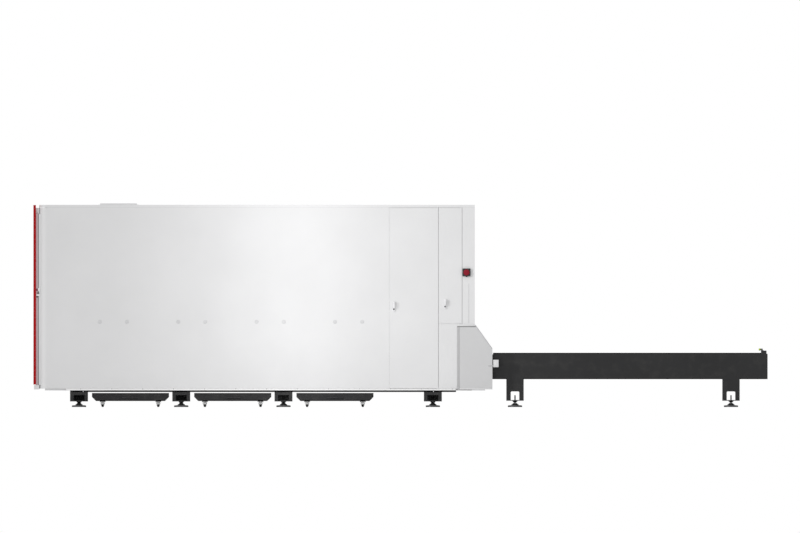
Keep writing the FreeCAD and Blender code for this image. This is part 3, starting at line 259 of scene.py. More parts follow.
# each finish: how it is made, its colour, its roughness, and what else that maker takes
RECIPES = {
    "white_paint": (powder_coat, (0.80, 0.80, 0.805), 0.42),
    "grey_paint": (powder_coat, (0.66, 0.66, 0.665), 0.45),
    "red_paint": (powder_coat, (0.41, 0.010, 0.012), 0.40, 0.05, 0.08),
    "door_paint": (powder_coat, (0.24, 0.235, 0.25), 0.45, 0.03),
    "dark_paint": (powder_coat, (0.020, 0.020, 0.021), 0.52, 0.10, 0.4, 0.05),
    "drawer_paint": (powder_coat, (0.018, 0.018, 0.019), 0.55, 0.10, 0.4, 0.08),
    "beam_paint": (powder_coat, (0.36, 0.38, 0.42), 0.45, 0.03),
    "motor_paint": (powder_coat, (0.016, 0.016, 0.018), 0.38, 0.10),
    "tinted_glass": (tinted_glass, (0.20, 0.26, 0.12)),
    "screen_plastic": (moulded, (0.012, 0.012, 0.014), 0.22, 0.4),
    "white_plastic": (moulded, (0.84, 0.84, 0.85), 0.35, 0.1),
    "black_plastic": (moulded, (0.020, 0.020, 0.022), 0.5),
    "red_plastic": (moulded, (0.26, 0.006, 0.020), 0.45, 0.0, 0.2),
    "nylon": (moulded, (0.62, 0.60, 0.54), 0.5),
    "rubber": (moulded, (0.014, 0.014, 0.014), 0.75),
    "rail_steel": (metal, (0.50, 0.51, 0.53), 0.26, (1, 1, 14)),
    "slat_steel": (burnt_steel, (0.42, 0.41, 0.40), (0.29, 0.27, 0.27), (0.26, 0.17, 0.11)),
    "foot_steel": (metal, (0.17, 0.17, 0.175), 0.50, (1, 1, 1), 90.0, 0.15),
    "zinc": (plated, (0.80, 0.80, 0.81), 0.30),
    "aluminium": (metal, (0.72, 0.73, 0.75), 0.32, (8, 1, 1), 60.0, 0.06),
    # painted reflection: a rose tint for the red front mirrored on the pale trim beside it
    "trim_rose": (powder_coat, (0.52, 0.42, 0.44), 0.5),
    # the front door's dark grey edge, with painted shade of the gap beside it
    "trim_grey": (powder_coat, (0.27, 0.27, 0.275), 0.5),
    # grey for screws and tongues, and painted shade along the hood's front edge and slope
    "fold_grey": (powder_coat, (0.52, 0.52, 0.525), 0.5),
    # dark grey for screws and a bracket, and a painted shadow under the hood's top rim
    "fold_dark": (powder_coat, (0.30, 0.30, 0.30), 0.55),
    "latch_rose": (moulded, (0.17, 0.025, 0.065), 0.5),
    "latch_dark": (moulded, (0.115, 0.115, 0.105), 0.5),
    # painted highlight: whiter than the white paint, so the lip reads bright as if lit
    "lip_white": (powder_coat, (0.95, 0.95, 0.95), 0.5),
    # near black: the base strips' own black, and painted shade along the table beams' edges and
    # the drawers' feet
    "edge_black": (powder_coat, (0.003, 0.003, 0.003), 0.85, 0.10, 0.05),
    # painted light: a whiter plastic that lifts the shade under the drawers
    "caster_white": (moulded, (0.92, 0.92, 0.92), 0.5),
    "plug_plastic": (moulded, (0.68, 0.68, 0.69), 0.4),
    "copper": (metal, (0.72, 0.33, 0.16), 0.24, (1, 1, 10), 120.0, 0.08),
    "ceramic": (moulded, (0.86, 0.84, 0.78), 0.28, 0.3),
    "sensor_green": (moulded, (0.50, 0.66, 0.04), 0.35, 0.2),
    "lamp_cover": (lamp_glow, (1.0, 0.97, 0.92), 2.0),
}
FINISHES = {name: make(name, *values) for name, (make, *values) in RECIPES.items()}
FOR_SLOT = {row["node"]: row["material_slot"] for row in frame["record"]["subparts"]}
for node_name, node_object in NODES.items():
    node_object.data.materials.clear()
    node_object.data.materials.append(FINISHES[FOR_SLOT[node_name]])
# the plugs are a shade darker than the panel they close
NODES["panel_plugs"].data.materials[0] = FINISHES["plug_plastic"]


# ---- shapes -----------------------------------------------------------------------------
def span(side, near, far, centre=0.0):
    """The low and high place of something that lies from near to far on one side of a centre."""
    return sorted((centre + side * near, centre + side * far))


def ease(shape, edges, width, steps=2):
    bmesh.ops.bevel(shape, geom=edges, offset=width, offset_type="OFFSET", affect="EDGES",
                    segments=steps, profile=0.5, material=-1, clamp_overlap=True)


def sharp_edges(shape, angle=50):
    """The edges whose two faces meet at more than an angle in degrees."""
    return [e for e in shape.edges
            if e.is_manifold and e.calc_face_angle() > math.radians(angle)]


def block(low, high, edge=0.001, corner=0.0, axis=1, steps=2):
    """A block from its low to its high corner, with eased edges and, if asked, round corners."""
    shape = bmesh.new()
    bmesh.ops.create_cube(shape, size=1.0)
    low, high = Vector(low), Vector(high)
    bmesh.ops.scale(shape, vec=high - low, verts=shape.verts)
    bmesh.ops.translate(shape, vec=(low + high) / 2, verts=shape.verts)
    if corner:
        along = [e for e in shape.edges
                 if abs((e.verts[0].co - e.verts[1].co)[axis]) > 1e-6]
        ease(shape, along, corner, 6)
    if edge:
        ease(shape, sharp_edges(shape), edge, steps)
    return shape


def stand(shape, centre, direction):
    """Turns a shape that was made along Z to lie along direction, and puts it at centre."""
    turn = Vector((0, 0, 1)).rotation_difference(Vector(direction)).to_matrix()
    bmesh.ops.rotate(shape, cent=(0, 0, 0), matrix=turn, verts=shape.verts)
    bmesh.ops.translate(shape, vec=centre, verts=shape.verts)
    return shape


def turned(profile, centre, direction=(0, 0, 1), steps=32):
    """A turned shape: points of radius and height, standing at centre along direction."""
    shape = bmesh.new()
    line = [shape.verts.new((radius, 0, height)) for radius, height in profile]
    for first, second in zip(line, line[1:]):
        shape.edges.new((first, second))
    bmesh.ops.spin(shape, geom=shape.verts[:] + shape.edges[:], cent=(0, 0, 0), axis=(0, 0, 1),
                   angle=math.tau, steps=steps, use_merge=True)
    bmesh.ops.remove_doubles(shape, verts=shape.verts, dist=1e-6)
    bmesh.ops.recalc_face_normals(shape, faces=shape.faces)
    return stand(shape, centre, direction)


def rounded_rod(radius, centre, direction, length, rim=0.001, steps=24):
    """A rod with its two rims eased, from centre along direction."""
    return turned([(0, 0), (radius - rim, 0), (radius, rim), (radius, length - rim),
                   (radius - rim, length), (0, length)], centre, direction, steps)


def cap_screw(centre, direction, radius, height):
    """A socket head: a round head with an eased rim and a sunk socket."""
    return turned([(0, 0), (radius, 0), (radius, 0.8 * height), (0.85 * radius, height),
                   (0.5 * radius, height), (0.45 * radius, 0.4 * height), (0, 0.4 * height)],
                  centre, direction, 12)


def hex_bolt(centre, direction, radius, height):
    """A hexagon head with its corners chamfered, on a washer."""
    shape = bmesh.new()
    bmesh.ops.create_cone(shape, cap_ends=True, segments=6, radius1=radius, radius2=radius,
                          depth=height)
    bmesh.ops.translate(shape, vec=(0, 0, height / 2), verts=shape.verts)
    rim = [e for e in shape.edges if all(v.co.z > height * 0.9 for v in e.verts)]
    ease(shape, rim, 0.12 * radius, 1)
    stand(shape, centre, direction)
    washer = turned([(0, 0), (1.3 * radius, 0), (1.3 * radius, 0.2 * height),
                     (0, 0.2 * height)], centre, direction, 12)
    add(shape, washer)
    return shape


def add(whole, shape, finish=0):
    """Adds a finished shape to a piece, in one of the piece's finishes."""
    for face in shape.faces:
        face.material_index = finish
    mesh = bpy.data.meshes.new("shape")
    shape.to_mesh(mesh)
    shape.free()
    whole.from_mesh(mesh)
    bpy.data.meshes.remove(mesh)


def piece(name, shapes, finishes, body, stands_for=()):
    """Joins shapes, each alone or with the number of its finish, into a piece on a body.

    Its first finish is its first material.
    """
    whole = bmesh.new()
    for item in shapes:
        shape, finish = item if isinstance(item, tuple) else (item, 0)
        add(whole, shape, finish)
    for face in whole.faces:
        face.smooth = True
    for edge in whole.edges:
        edge.smooth = edge.is_manifold and edge.calc_face_angle() < math.radians(35)
    mesh = bpy.data.meshes.new(name)
    whole.to_mesh(mesh)
    whole.free()
    for finish in finishes:
        mesh.materials.append(FINISHES[finish])
    made = bpy.data.objects.new(name, mesh)
    bpy.context.scene.collection.objects.link(made)
    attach(made, body)
    if stands_for:
        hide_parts(*stands_for)
    return made


def steps_between(start, end, count):
    """Evenly spaced places, with one at each end."""
    return [start + (end - start) * i / (count - 1) for i in range(count)]


# ---- places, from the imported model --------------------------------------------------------
side_low, side_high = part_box("side_panel_near")
rear_low, rear_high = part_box("rear_wall")
SIDE = side_low.y                         # the operator's face of the cabin
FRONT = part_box("front_fascia")[0].x       # the front's foremost face
REAR = rear_high.x                        # the cabin's rear face
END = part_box("table_frame")[1].x          # the table's far end
FOOT_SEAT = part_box("machine_bed")[0].z    # where the bed rests on its levelling feet
BASE = FOOT_SEAT + 0.106                  # underside of the bed's base strips
BASE_END = 0.6190                         # rear end of the base strips and the cabin's lip
BASE_FACE = 1.1250                        # a base strip's outer face, from the middle
FOOT_X = [-3.6005, -2.4555, -1.3105, 0.3625]     # the bed's foot boxes, front to rear
FOOT_Y = 1.045                            # their feet, from the middle
FOOT_HALF = 0.0895                        # half a foot box's length
LEG_X = [1.2825, 3.7015]                  # the table's legs, front to rear
LEG_Y = 0.955                             # their feet, from the middle
LEG_HALF = 0.0975                         # half a table leg's width
LEG_SEAT = 0.070                          # where the legs rest on their feet


# ---- door levers and the stop button ------------------------------------------------------
def lever_handle(name, body, node):
    """A lever that hangs on a rounded plate, with its lock below and the latch cam behind."""
    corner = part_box(node)[1]
    x, z = corner.x - 0.015, corner.z - 0.018
    face = SIDE - 0.0003
    plate = block((x - 0.015, face - 0.012, z - 0.094), (x + 0.015, face, z + 0.018),
                  0.0018, 0.0135)
    recess = block((x - 0.0115, face - 0.0128, z - 0.090), (x + 0.0115, face - 0.0115, z + 0.014),
                   0.0005, 0.0105)
    grip = block((x - 0.012, face - 0.0376, z - 0.052), (x + 0.012, face - 0.0185, z + 0.016),
                 0.0040, 0.0095)
    neck = block((x - 0.011, face - 0.030, z - 0.012), (x + 0.011, face - 0.010, z + 0.013),
                 0.0030)
    lock = turned([(0, 0), (0.0090, 0), (0.0090, 0.0030), (0.0075, 0.0045), (0.0026, 0.0045),
                   (0.0026, 0.0015), (0, 0.0015)], (x, face - 0.0125, z - 0.068), (0, -1, 0), 24)
    spindle = rounded_rod(0.0078, (x, face + 0.001, z), (0, 1, 0), 0.013)
    cam = block((x - 0.032, SIDE + 0.006, z - 0.009), (x + 0.009, SIDE + 0.012, z + 0.009),
                0.0008, 0.006)
    nut = hex_bolt((x, SIDE + 0.012, z), (0, 1, 0), 0.007, 0.002)
    piece(name, [plate, recess, grip, neck, (lock, 1), (spindle, 2), (cam, 2), (nut, 2)],
          ["white_plastic", "black_plastic", "zinc"], body, stands_for=(node,))


lever_handle("wide_lever_handle", "wide_lever", "wide_door_handle")
lever_handle("narrow_lever_handle", "narrow_lever", "narrow_door_handle")


def mushroom_button():
    """The stop button: a domed cap with a rounded rim, on a black stem."""
    low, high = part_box("stop_button")
    x, z = (low.x + high.x) / 2, (low.z + high.z) / 2
    radius = (high.x - low.x) / 2
    cap = turned([(0, 0.0000), (0.55 * radius, -0.0006), (0.85 * radius, -0.0016),
                  (0.96 * radius, -0.0030), (radius, -0.0048), (radius, -0.0066),
                  (0.95 * radius, -0.0080), (0, -0.0080)], (x, low.y, z), (0, -1, 0), 40)
    stem = rounded_rod(0.0119, (x, low.y + 0.0075, z), (0, 1, 0), 0.0205)
    piece("stop_mushroom", [cap, (stem, 1)], ["red_plastic", "black_plastic"], "stop_cap",
          stands_for=("stop_button",))


mushroom_button()


def stop_box_trim():
    """The stop box's four cover screws, the cable gland under it and a narrow duct below."""
    low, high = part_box("stop_box")
    x, z = (low.x + high.x) / 2, (low.z + high.z) / 2
    screws = [cap_screw((x + sx * 0.038, low.y, z + sz * 0.037), (0, -1, 0), 0.0030, 0.0012)
              for sx in (-1, 1) for sz in (-1, 1)]
    gland = turned([(0, 0), (0.0065, 0), (0.0075, 0.0015), (0.0075, 0.006), (0.0055, 0.008),
                    (0, 0.008)], (x, low.y + 0.013, low.z), (0, 0, -1), 24)
    duct_foot = 0.940
    duct = block((x + 0.0215, SIDE - 0.0040, duct_foot), (x + 0.0265, SIDE, low.z - 0.083),
                 0.0010)
    piece("stop_box_trim", [(gland, 0), (duct, 1)] + [(s, 0) for s in screws],
          ["black_plastic", "grey_paint"], "machine")


stop_box_trim()


# ---- operator's front ---------------------------------------------------------------------
def control_panel():
    """The screen's lit display, and a row of flush keys under it."""
    low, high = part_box("control_screen")
    face = low.x
    inner_low = Vector((face - 0.0006, low.y + 0.022, low.z + 0.052))
    inner_high = Vector((face + 0.0010, high.y - 0.022, high.z - 0.020))
    FINISHES["screen_display"] = screen_fields("screen_display", inner_low, inner_high)
    glass = block(inner_low, inner_high, 0.0003)
    keys = [block((face - 0.0008, y - 0.014, low.z + 0.016),
                  (face + 0.0010, y + 0.014, low.z + 0.036), 0.0004, 0.004, 0)
            for y in steps_between(low.y + 0.060, high.y - 0.060, 8)]
    piece("screen_face", [(glass, 1)] + [(k, 2) for k in keys],
          ["screen_plastic", "screen_display", "grey_paint"], "machine")


control_panel()


def front_trims():
    """Upright side trims behind the red front, two strips rose as a painted reflection of the red
    front and one grey for the door's dark edge with painted shade, and the door latch on the
    operator's side.
    """
    sill, header, trim_inner, trim_outer = 0.246, 2.165, 1.1018, 1.1185
    # each strip: its start and end behind the front, and its finish; the rose strips are a painted
    # reflection of the red front, the grey strip the door's dark edge with painted shade
    strips = [(0.0283, 0.0312, 0), (0.0312, 0.0405, 1), (0.0405, 0.0520, 1),
              (0.0520, 0.0620, 2), (0.0622, 0.0860, 3)]
    for side, name in ((-1, "front_side_trim"), (1, "front_far_trim")):
        y0, y1 = span(side, trim_inner, trim_outer)
        shapes = [(block((FRONT + x0, y0, sill), (FRONT + x1, y1, header), 0.0006), finish)
                  for x0, x1, finish in strips]
        piece(name, shapes, ["red_paint", "trim_rose", "trim_grey", "white_paint"], "machine")
    # each part of the latch: start, end, foot, top, outer face from the middle, and finish
    parts = [(0.0325, 0.0500, 1.298, 1.326, 1.1252, 0), (0.0510, 0.0720, 1.298, 1.330, 1.1240, 1),
             (0.0440, 0.0620, 1.262, 1.286, 1.1252, 2), (0.0345, 0.0740, 1.246, 1.262, 1.1245, 1),
             (0.0345, 0.0500, 1.226, 1.246, 1.1240, 2)]
    latch_back = 1.1180
    latch = [(block((FRONT + x0, -face, z0), (FRONT + x1, -latch_back, z1), 0.0015, 0.003), finish)
             for x0, x1, z0, z1, face, finish in parts]
    latch += [(cap_screw((FRONT + 0.0615, -1.1238, z), (0, -1, 0), 0.0035, 0.0015), 3)
              for z in (1.306, 1.322)]
    piece("front_latch_parts", latch, ["latch_rose", "caster_white", "latch_dark", "zinc"],
          "machine", stands_for=("front_latch",))


front_trims()


def window_seal():
    """A rubber seal round the front door's window, and the caps and roses of its handle."""
    low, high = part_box("front_window")
    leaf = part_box("front_door")[0].x
    hidden, wide, lip = 0.020, 0.010, 0.002
    y0, y1, z0, z1 = low.y + hidden, high.y - hidden, low.z + hidden, high.z - hidden
    x0, x1 = leaf - 0.0006, leaf + 0.002
    bars = [block((x0, y0 - wide, z0 - wide), (x1, y0 + lip, z1 + wide), 0.0005),
            block((x0, y1 - lip, z0 - wide), (x1, y1 + wide, z1 + wide), 0.0005),
            block((x0, y0, z0 - wide), (x1, y1, z0 + lip), 0.0005),
            block((x0, y0, z1 - lip), (x1, y1, z1 + wide), 0.0005)]
    piece("front_window_seal", bars, ["rubber"], "front_leaf")
    grip_low, grip_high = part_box("front_handle")
    x, y = grip_low.x + 0.008, (grip_low.y + grip_high.y) / 2
    caps = [rounded_rod(0.0088, (x, y, z), (0, 0, d), 0.004, 0.0012)
            for z, d in ((grip_low.z + 0.0036, -1), (grip_high.z - 0.0036, 1))]
    roses = [turned([(0.0075, 0), (0.014, 0), (0.014, 0.002), (0.012, 0.003), (0.0075, 0.003),
                     (0.0075, 0)], (leaf, y, z), (-1, 0, 0), 24)
             for z in (grip_low.z + 0.030, grip_high.z - 0.030)]
    piece("front_handle_caps", [(c, 0) for c in caps] + [(r, 1) for r in roses],
          ["black_plastic", "aluminium"], "front_leaf")


window_seal()


# ---- the cabin's outside ------------------------------------------------------------------
def vent_flange():
    """The roof vent's fixing flange with its screws, and the raised ribs on its cover."""
    low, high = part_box("roof_vent")
    lap = 0.022
    flange = block((low.x - lap, low.y - lap, low.z), (high.x + lap, high.y + lap, low.z + 0.0012),
                   0.0004, 0.01, 2)
    screws = [cap_screw((x, y, low.z + 0.0010), (0, 0, 1), 0.004, 0.0025)
              for x in (low.x - 0.012, high.x + 0.012)
              for y in steps_between(low.y + 0.03, high.y - 0.03, 5)]
    ribs = [block((x - 0.010, low.y + 0.06, high.z - 0.003), (x + 0.010, high.y - 0.06, high.z),
                  0.0012, 0.004, 2) for x in steps_between(low.x + 0.05, high.x - 0.05, 9)]
    piece("roof_vent_flange", [flange] + ribs + [(s, 1) for s in screws],
          ["white_paint", "zinc"], "machine")


vent_flange()


def hood_edges():
    """Strips on the hood's two sides: painted shade along its front edge and its sloped fold, a
    painted shadow under its top rim with a white painted highlight above it, a white strip along
    its foot, a dark bracket under it, and the screws that hold it.
    """
    low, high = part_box("rear_hood")
    start, end, top = low.x + 0.001, high.x - 0.001, high.z - 0.001
    hem, bend, slope_x = 0.197, 0.657, REAR + 0.006
    flange, brim = high.z - 0.029, high.z - 0.0155
    rail_foot, rail_top = 0.186, 0.1915
    rise, run = high.z - bend, high.x - slope_x
    shapes = []
    for side in (-1, 1):
        near, far = span(side, high.y, high.y + 0.0014)
        rail_near, rail_far = span(side, 1.184, 1.189)
        # the strip on the slope is painted shade of the sheet's bend
        slope_shade_strip = block((0, near, -0.004), (math.hypot(run, rise) - 0.010, far, 0.004), 0.0005)
        lean = Matrix.Rotation(math.atan2(rise, run), 3, "Y")
        bmesh.ops.rotate(slope_shade_strip, cent=(0, 0, 0), matrix=lean, verts=slope_shade_strip.verts)
        bmesh.ops.translate(slope_shade_strip, vec=(slope_x + 0.001, 0, high.z - 0.0105), verts=slope_shade_strip.verts)
        # painted shade: the grey strip up the front edge and the strip on the slope; painted
        # shadow: the dark strip under the top rim; painted highlight: the white strip along the
        # top
        shapes += [
            (block((start, near, hem), (low.x + 0.030, far, flange), 0.0005), 0),
            (block((start, near, flange), (slope_x + 0.006, far, brim), 0.0005), 1),
            (block((start, near, brim), (slope_x + 0.001, far, top), 0.0005), 2),
            (block((low.x + 0.030, near, hem), (end, far, hem + 0.010), 0.0005), 2),
            (slope_shade_strip, 0),
            (block((low.x + 0.118, rail_near, rail_foot), (low.x + 0.238, rail_far, rail_top),
                   0.0004), 1)]
        shapes += [(cap_screw((low.x + 0.015, side * (high.y + 0.0014), z), (0, side, 0),
                              0.0040, 0.0018), 0)
                   for z in steps_between(hem + 0.06, high.z - 0.08, 5)]
    piece("hood_edges", shapes, ["fold_grey", "fold_dark", "white_paint"], "machine")


hood_edges()


def docking_blocks():
    """The blocks that dock the table to the hood, each with its tongue and four screws."""
    low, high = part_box("docking_brackets")
    length = 0.059
    start = high.x - length
    shapes = []
    for side in (-1, 1):
        y0, y1 = span(side, high.y - 0.060, high.y - 0.0012)
        shapes.append((block((start, y0, low.z), (high.x, y1, high.z), 0.0012), 0))
        y0, y1 = span(side, high.y - 0.004, high.y)
        shapes.append((block((start - length, y0, low.z + 0.009),
                             (start - 0.0005, y1, low.z + 0.021), 0.0008), 1))
        shapes += [(cap_screw((x, side * (high.y - 0.0013), z), (0, side, 0), 0.0045, 0.0013), 2)
                   for x in (start + 0.012, high.x - 0.012)
                   for z in (low.z + 0.014, high.z - 0.014)]
    piece("docking_blocks", shapes, ["white_paint", "fold_grey", "zinc"], "machine",
          stands_for=("docking_brackets",))


def cabin_seams():
    """Pale seals: under the roof's skirt, in the gaps round the doors and at the rear wall."""
    skirt_inner, skirt_outer = 1.1465, 1.1494
    shapes = []
    for side in (-1, 1):
        y0, y1 = span(side, skirt_inner, skirt_outer)
        shapes.append(block((side_low.x + 0.095, y0, side_high.z),
                            (REAR, y1, side_high.z + 0.002), 0.0))
    piece("roof_seam_seal", shapes, ["grey_paint"], "machine")
    low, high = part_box("wide_door")
    upright = block((side_high.x, low.y + 0.0012, low.z),
                    (side_high.x + 0.0013, low.y + 0.007, high.z), 0.0)
    low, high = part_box("narrow_door")
    sill = block((low.x, low.y + 0.0012, low.z - 0.002),
                 (high.x, low.y + 0.007, low.z - 0.0007), 0.0)
    piece("door_gap_seals", [upright, sill], ["white_paint"], "machine")
    lip = block((low.x - 0.0022, low.y + 0.001, low.z + 0.002),
                (low.x + 0.0005, low.y + 0.006, high.z - 0.002), 0.0006)
    piece("narrow_door_seal", [lip], ["white_paint"], "narrow_leaf")
    lip = block((rear_low.x - 0.0022, SIDE + 0.0010, side_low.z),
                (rear_low.x + 0.0005, SIDE + 0.006, low.z - 0.002), 0.0006)
    piece("rear_wall_seal", [lip], ["white_paint"], "machine")


def cabin_lip():
    """The folded lip under the side panels, whiter than the panels as a painted highlight, with
    its row of small dark screws.
    """
    foot, face = 0.1862, 1.1485
    first, pitch, count, screw_z = -3.582, 0.347, 13, 0.2015
    shapes = []
    for side in (-1, 1):
        y0, y1 = span(side, face - 0.0045, face)
        # the lip is painted whiter than the panels: a painted highlight
        shapes.append((block((side_low.x + 0.300, y0, foot), (BASE_END, y1, side_low.z - 0.0010),
                             0.0006), 0))
        shapes += [(cap_screw((first + pitch * i, side * (face - 0.0001), screw_z), (0, side, 0),
                              0.0038, 0.0010), 1) for i in range(count)]
    piece("cabin_lip", shapes, ["lip_white", "fold_dark"], "machine")


docking_blocks()
cabin_seams()
cabin_lip()


def bed_marks():
    """The base strips' black faces, and their screws at the foot boxes, some unpainted."""
    strip_foot, strip_top = 0.1683, 0.1847
    shapes = []
    for side in (-1, 1):
        for x in FOOT_X:
            shapes += [(hex_bolt((x + dx, side * BASE_FACE, BASE + 0.0085), (0, side, 0), 0.007,
                                 0.005), 0) for dx in (-0.075, 0.075)]
        for x in (FOOT_X[0] + 0.048, FOOT_X[3] + 0.007):
            shapes.append((hex_bolt((x, side * BASE_FACE, BASE + 0.0060), (0, side, 0), 0.006,
                                    0.005), 1))
        y0, y1 = span(side, BASE_FACE - 0.0002, BASE_FACE + 0.0012)
        shapes.append((block((FOOT_X[0] - FOOT_HALF, y0, strip_foot), (BASE_END, y1, strip_top),
                             0.0003), 2))
    piece("base_bolts", shapes, ["dark_paint", "zinc", "edge_black"], "machine")


bed_marks()


# ---- levelling feet -----------------------------------------------------------------------
def levelling_foot(x, y, seat):
    """A rubber sole under a pressed dish, the hub, the threaded stud and the cone nut."""
    sole = turned([(0, 0), (0.078, 0), (0.080, 0.0015), (0.080, 0.0060), (0, 0.0060)],
                  (x, y, 0), steps=48)
    dish = turned([(0, 0.0055), (0.0785, 0.0055), (0.0800, 0.0070), (0.0795, 0.0145),
                   (0.0770, 0.0175), (0.0440, 0.0205), (0, 0.0205)], (x, y, 0), steps=48)
    hub = turned([(0, 0.0200), (0.0405, 0.0200), (0.0390, 0.0290), (0.0365, 0.0320),
                  (0.0270, 0.0330), (0.0240, 0.0420), (0.0210, 0.0445), (0, 0.0445)],
                 (x, y, 0), steps=32)
    top, start, pitch, root, crest = seat + 0.062, 0.046, 0.004, 0.0068, 0.0078
    thread = [(0, start - 0.002), (crest, start - 0.002)]
    for i in range(int((top - start) / pitch)):
        thread += [(root, start + pitch * i), (crest, start + pitch * (i + 0.5))]
    thread += [(0.0070, top), (0, top)]
    stud = turned(thread, (x, y, 0), steps=16)
    cone = turned([(0.0, seat - 0.021), (0.0130, seat - 0.021), (0.0150, seat - 0.0190),
                   (0.0285, seat - 0.005), (0.0295, seat - 0.003), (0.0295, seat), (0, seat)],
                  (x, y, 0), steps=32)
    return [(sole, 1), (dish, 0), (hub, 1), (stud, 1), (cone, 2)]


def levelling_feet():
    """The feet under the bed's foot boxes and under the table's legs."""
    shapes = []
    for side in (-1, 1):
        for x in FOOT_X:
            shapes += levelling_foot(x, side * FOOT_Y, FOOT_SEAT)
        for x in LEG_X:
            shapes += levelling_foot(x, side * LEG_Y, LEG_SEAT)
    piece("levelling_feet_dishes", shapes, ["foot_steel", "rubber", "motor_paint"], "machine",
          stands_for=("levelling_feet",))


levelling_feet()


# ---- slag drawers -------------------------------------------------------------------------
def caster_guard(x, y, top):
    """A moulded housing over a caster's fork, with its axle caps and plate bolts."""
    hem, hood, plate_foot, plate_top = 0.030, top - 0.012, top - 0.0125, top - 0.0040
    axle = 0.038
    shell = []
    for side in (-1, 1):
        x0, x1 = span(side, 0.0175, 0.0200, x)
        shell.append((block((x0, y - 0.0315, hem), (x1, y + 0.0315, hood), 0.0004, 0.006, 0), 0))
        y0, y1 = span(side, 0.0290, 0.0315, y)
        shell.append((block((x - 0.0200, y0, hem), (x + 0.0200, y1, hood), 0.0004), 0))
        shell.append((turned([(0, 0), (0.0075, 0), (0.0075, 0.0020), (0.0060, 0.0030),
                              (0, 0.0030)], (x + side * 0.0200, y, axle), (side, 0, 0), 16), 0))
        x0, x1 = span(side, 0.0310, 0.0330, x)
        shell.append((block((x0, y - 0.0330, plate_foot), (x1, y + 0.0330, plate_top), 0.0005), 0))
        y0, y1 = span(side, 0.0310, 0.0330, y)
        shell.append((block((x - 0.0330, y0, plate_foot), (x + 0.0330, y1, plate_top), 0.0005), 0))
    shell += [(hex_bolt((x + sx * 0.025, y + sy * 0.025, top - 0.0100), (0, 0, -1), 0.0045, 0.002),
               1) for sx in (-1, 1) for sy in (-1, 1)]
    return shell


def slag_drawer_trim(number):
    """A drawer's caster housings, in a whiter plastic that is painted light, its rolled rim, a
    dark foot line of painted shade, its pull, and its wheel hubs.
    """
    low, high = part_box(f"slag_drawer_{number}")
    top, wheel_axle = 0.067, 0.025
    caster_x = (low.x + 0.120, high.x - 0.120)
    casters = []
    for x in caster_x:
        for y in (low.y + 0.100, high.y - 0.100):
            casters += caster_guard(x, y, top)
    # the housings' plastic is whiter than the other white plastic: painted light lifting the shade
    # under the drawer
    piece(f"drawer_{number}_casters", casters, ["caster_white", "zinc"], f"drawer_{number}")
    middle, back = (low.x + high.x) / 2, low.y + 0.0005
    # the dark line low on the front is painted shade
    edge = [(block((low.x, low.y - 0.006, high.z - 0.010), (high.x, back, high.z), 0.0018), 0),
            (block((low.x + 0.046, low.y - 0.0012, top + 0.0005),
                   (high.x - 0.046, back, top + 0.0100), 0.0004), 2),
            (block((middle - 0.09, low.y - 0.026, 0.098), (middle + 0.09, low.y - 0.018, 0.110),
                   0.0025, 0.004, 0), 1)]
    edge += [(rounded_rod(0.0045, (middle + dx, low.y - 0.020, 0.104), (0, 1, 0), 0.021), 1)
             for dx in (-0.078, 0.078)]
    piece(f"drawer_{number}_front_edge", edge, ["drawer_paint", "black_plastic", "edge_black"],
          f"drawer_{number}")
    for end in ("front", "rear"):
        wheel_low, wheel_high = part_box(f"drawer_wheels_{end}_{number}")
        y = (wheel_low.y + wheel_high.y) / 2
        hubs = [turned([(0.0042, -0.0005), (0.0150, -0.0005), (0.0150, 0.0002), (0.0135, 0.0006),
                        (0.0042, 0.0006), (0.0042, -0.0005)],
                       (x + side * 0.0120, y, wheel_axle), (side, 0, 0), 24)
                for x in caster_x for side in (-1, 1)]
        piece(f"drawer_{number}_{end}_hubs", hubs, ["nylon"], f"drawer_{number}_{end}_wheels")


for number in (1, 2, 3):
    slag_drawer_trim(number)


# ---- exchange table -----------------------------------------------------------------------
def table_trim():
    """Near-black strips of painted shade along the side beams' top and bottom edges, and the weld
    beads at the legs.
    """
    start, face, top, foot = 1.0365, 1.0098, (0.5965, 0.6068), (0.3122, 0.3215)
    # the strips along the beams' top and bottom edges are painted shade
    strips = [(start, END - 0.0745, top), (start, LEG_X[0] - LEG_HALF, foot),
              (LEG_X[0] + LEG_HALF, LEG_X[1] - LEG_HALF, foot),
              (LEG_X[1] + LEG_HALF, END - 0.0265, foot)]
    weld_y, weld_z, weld_length = 0.902, 0.312, 0.106
    shapes = []
    for side in (-1, 1):
        near, far = span(side, face, face + 0.0014)
        shapes += [(block((x0, near, z0), (x1, far, z1), 0.0003), 1)
                   for x0, x1, (z0, z1) in strips]
        shapes += [(rounded_rod(0.0028, (x + dx, side * weld_y, weld_z), (0, side, 0),
                                weld_length, 0.001, 8), 0)
                   for x in LEG_X for dx in (-LEG_HALF, LEG_HALF)]
    piece("table_edges", shapes, ["dark_paint", "edge_black"], "machine")


table_trim()


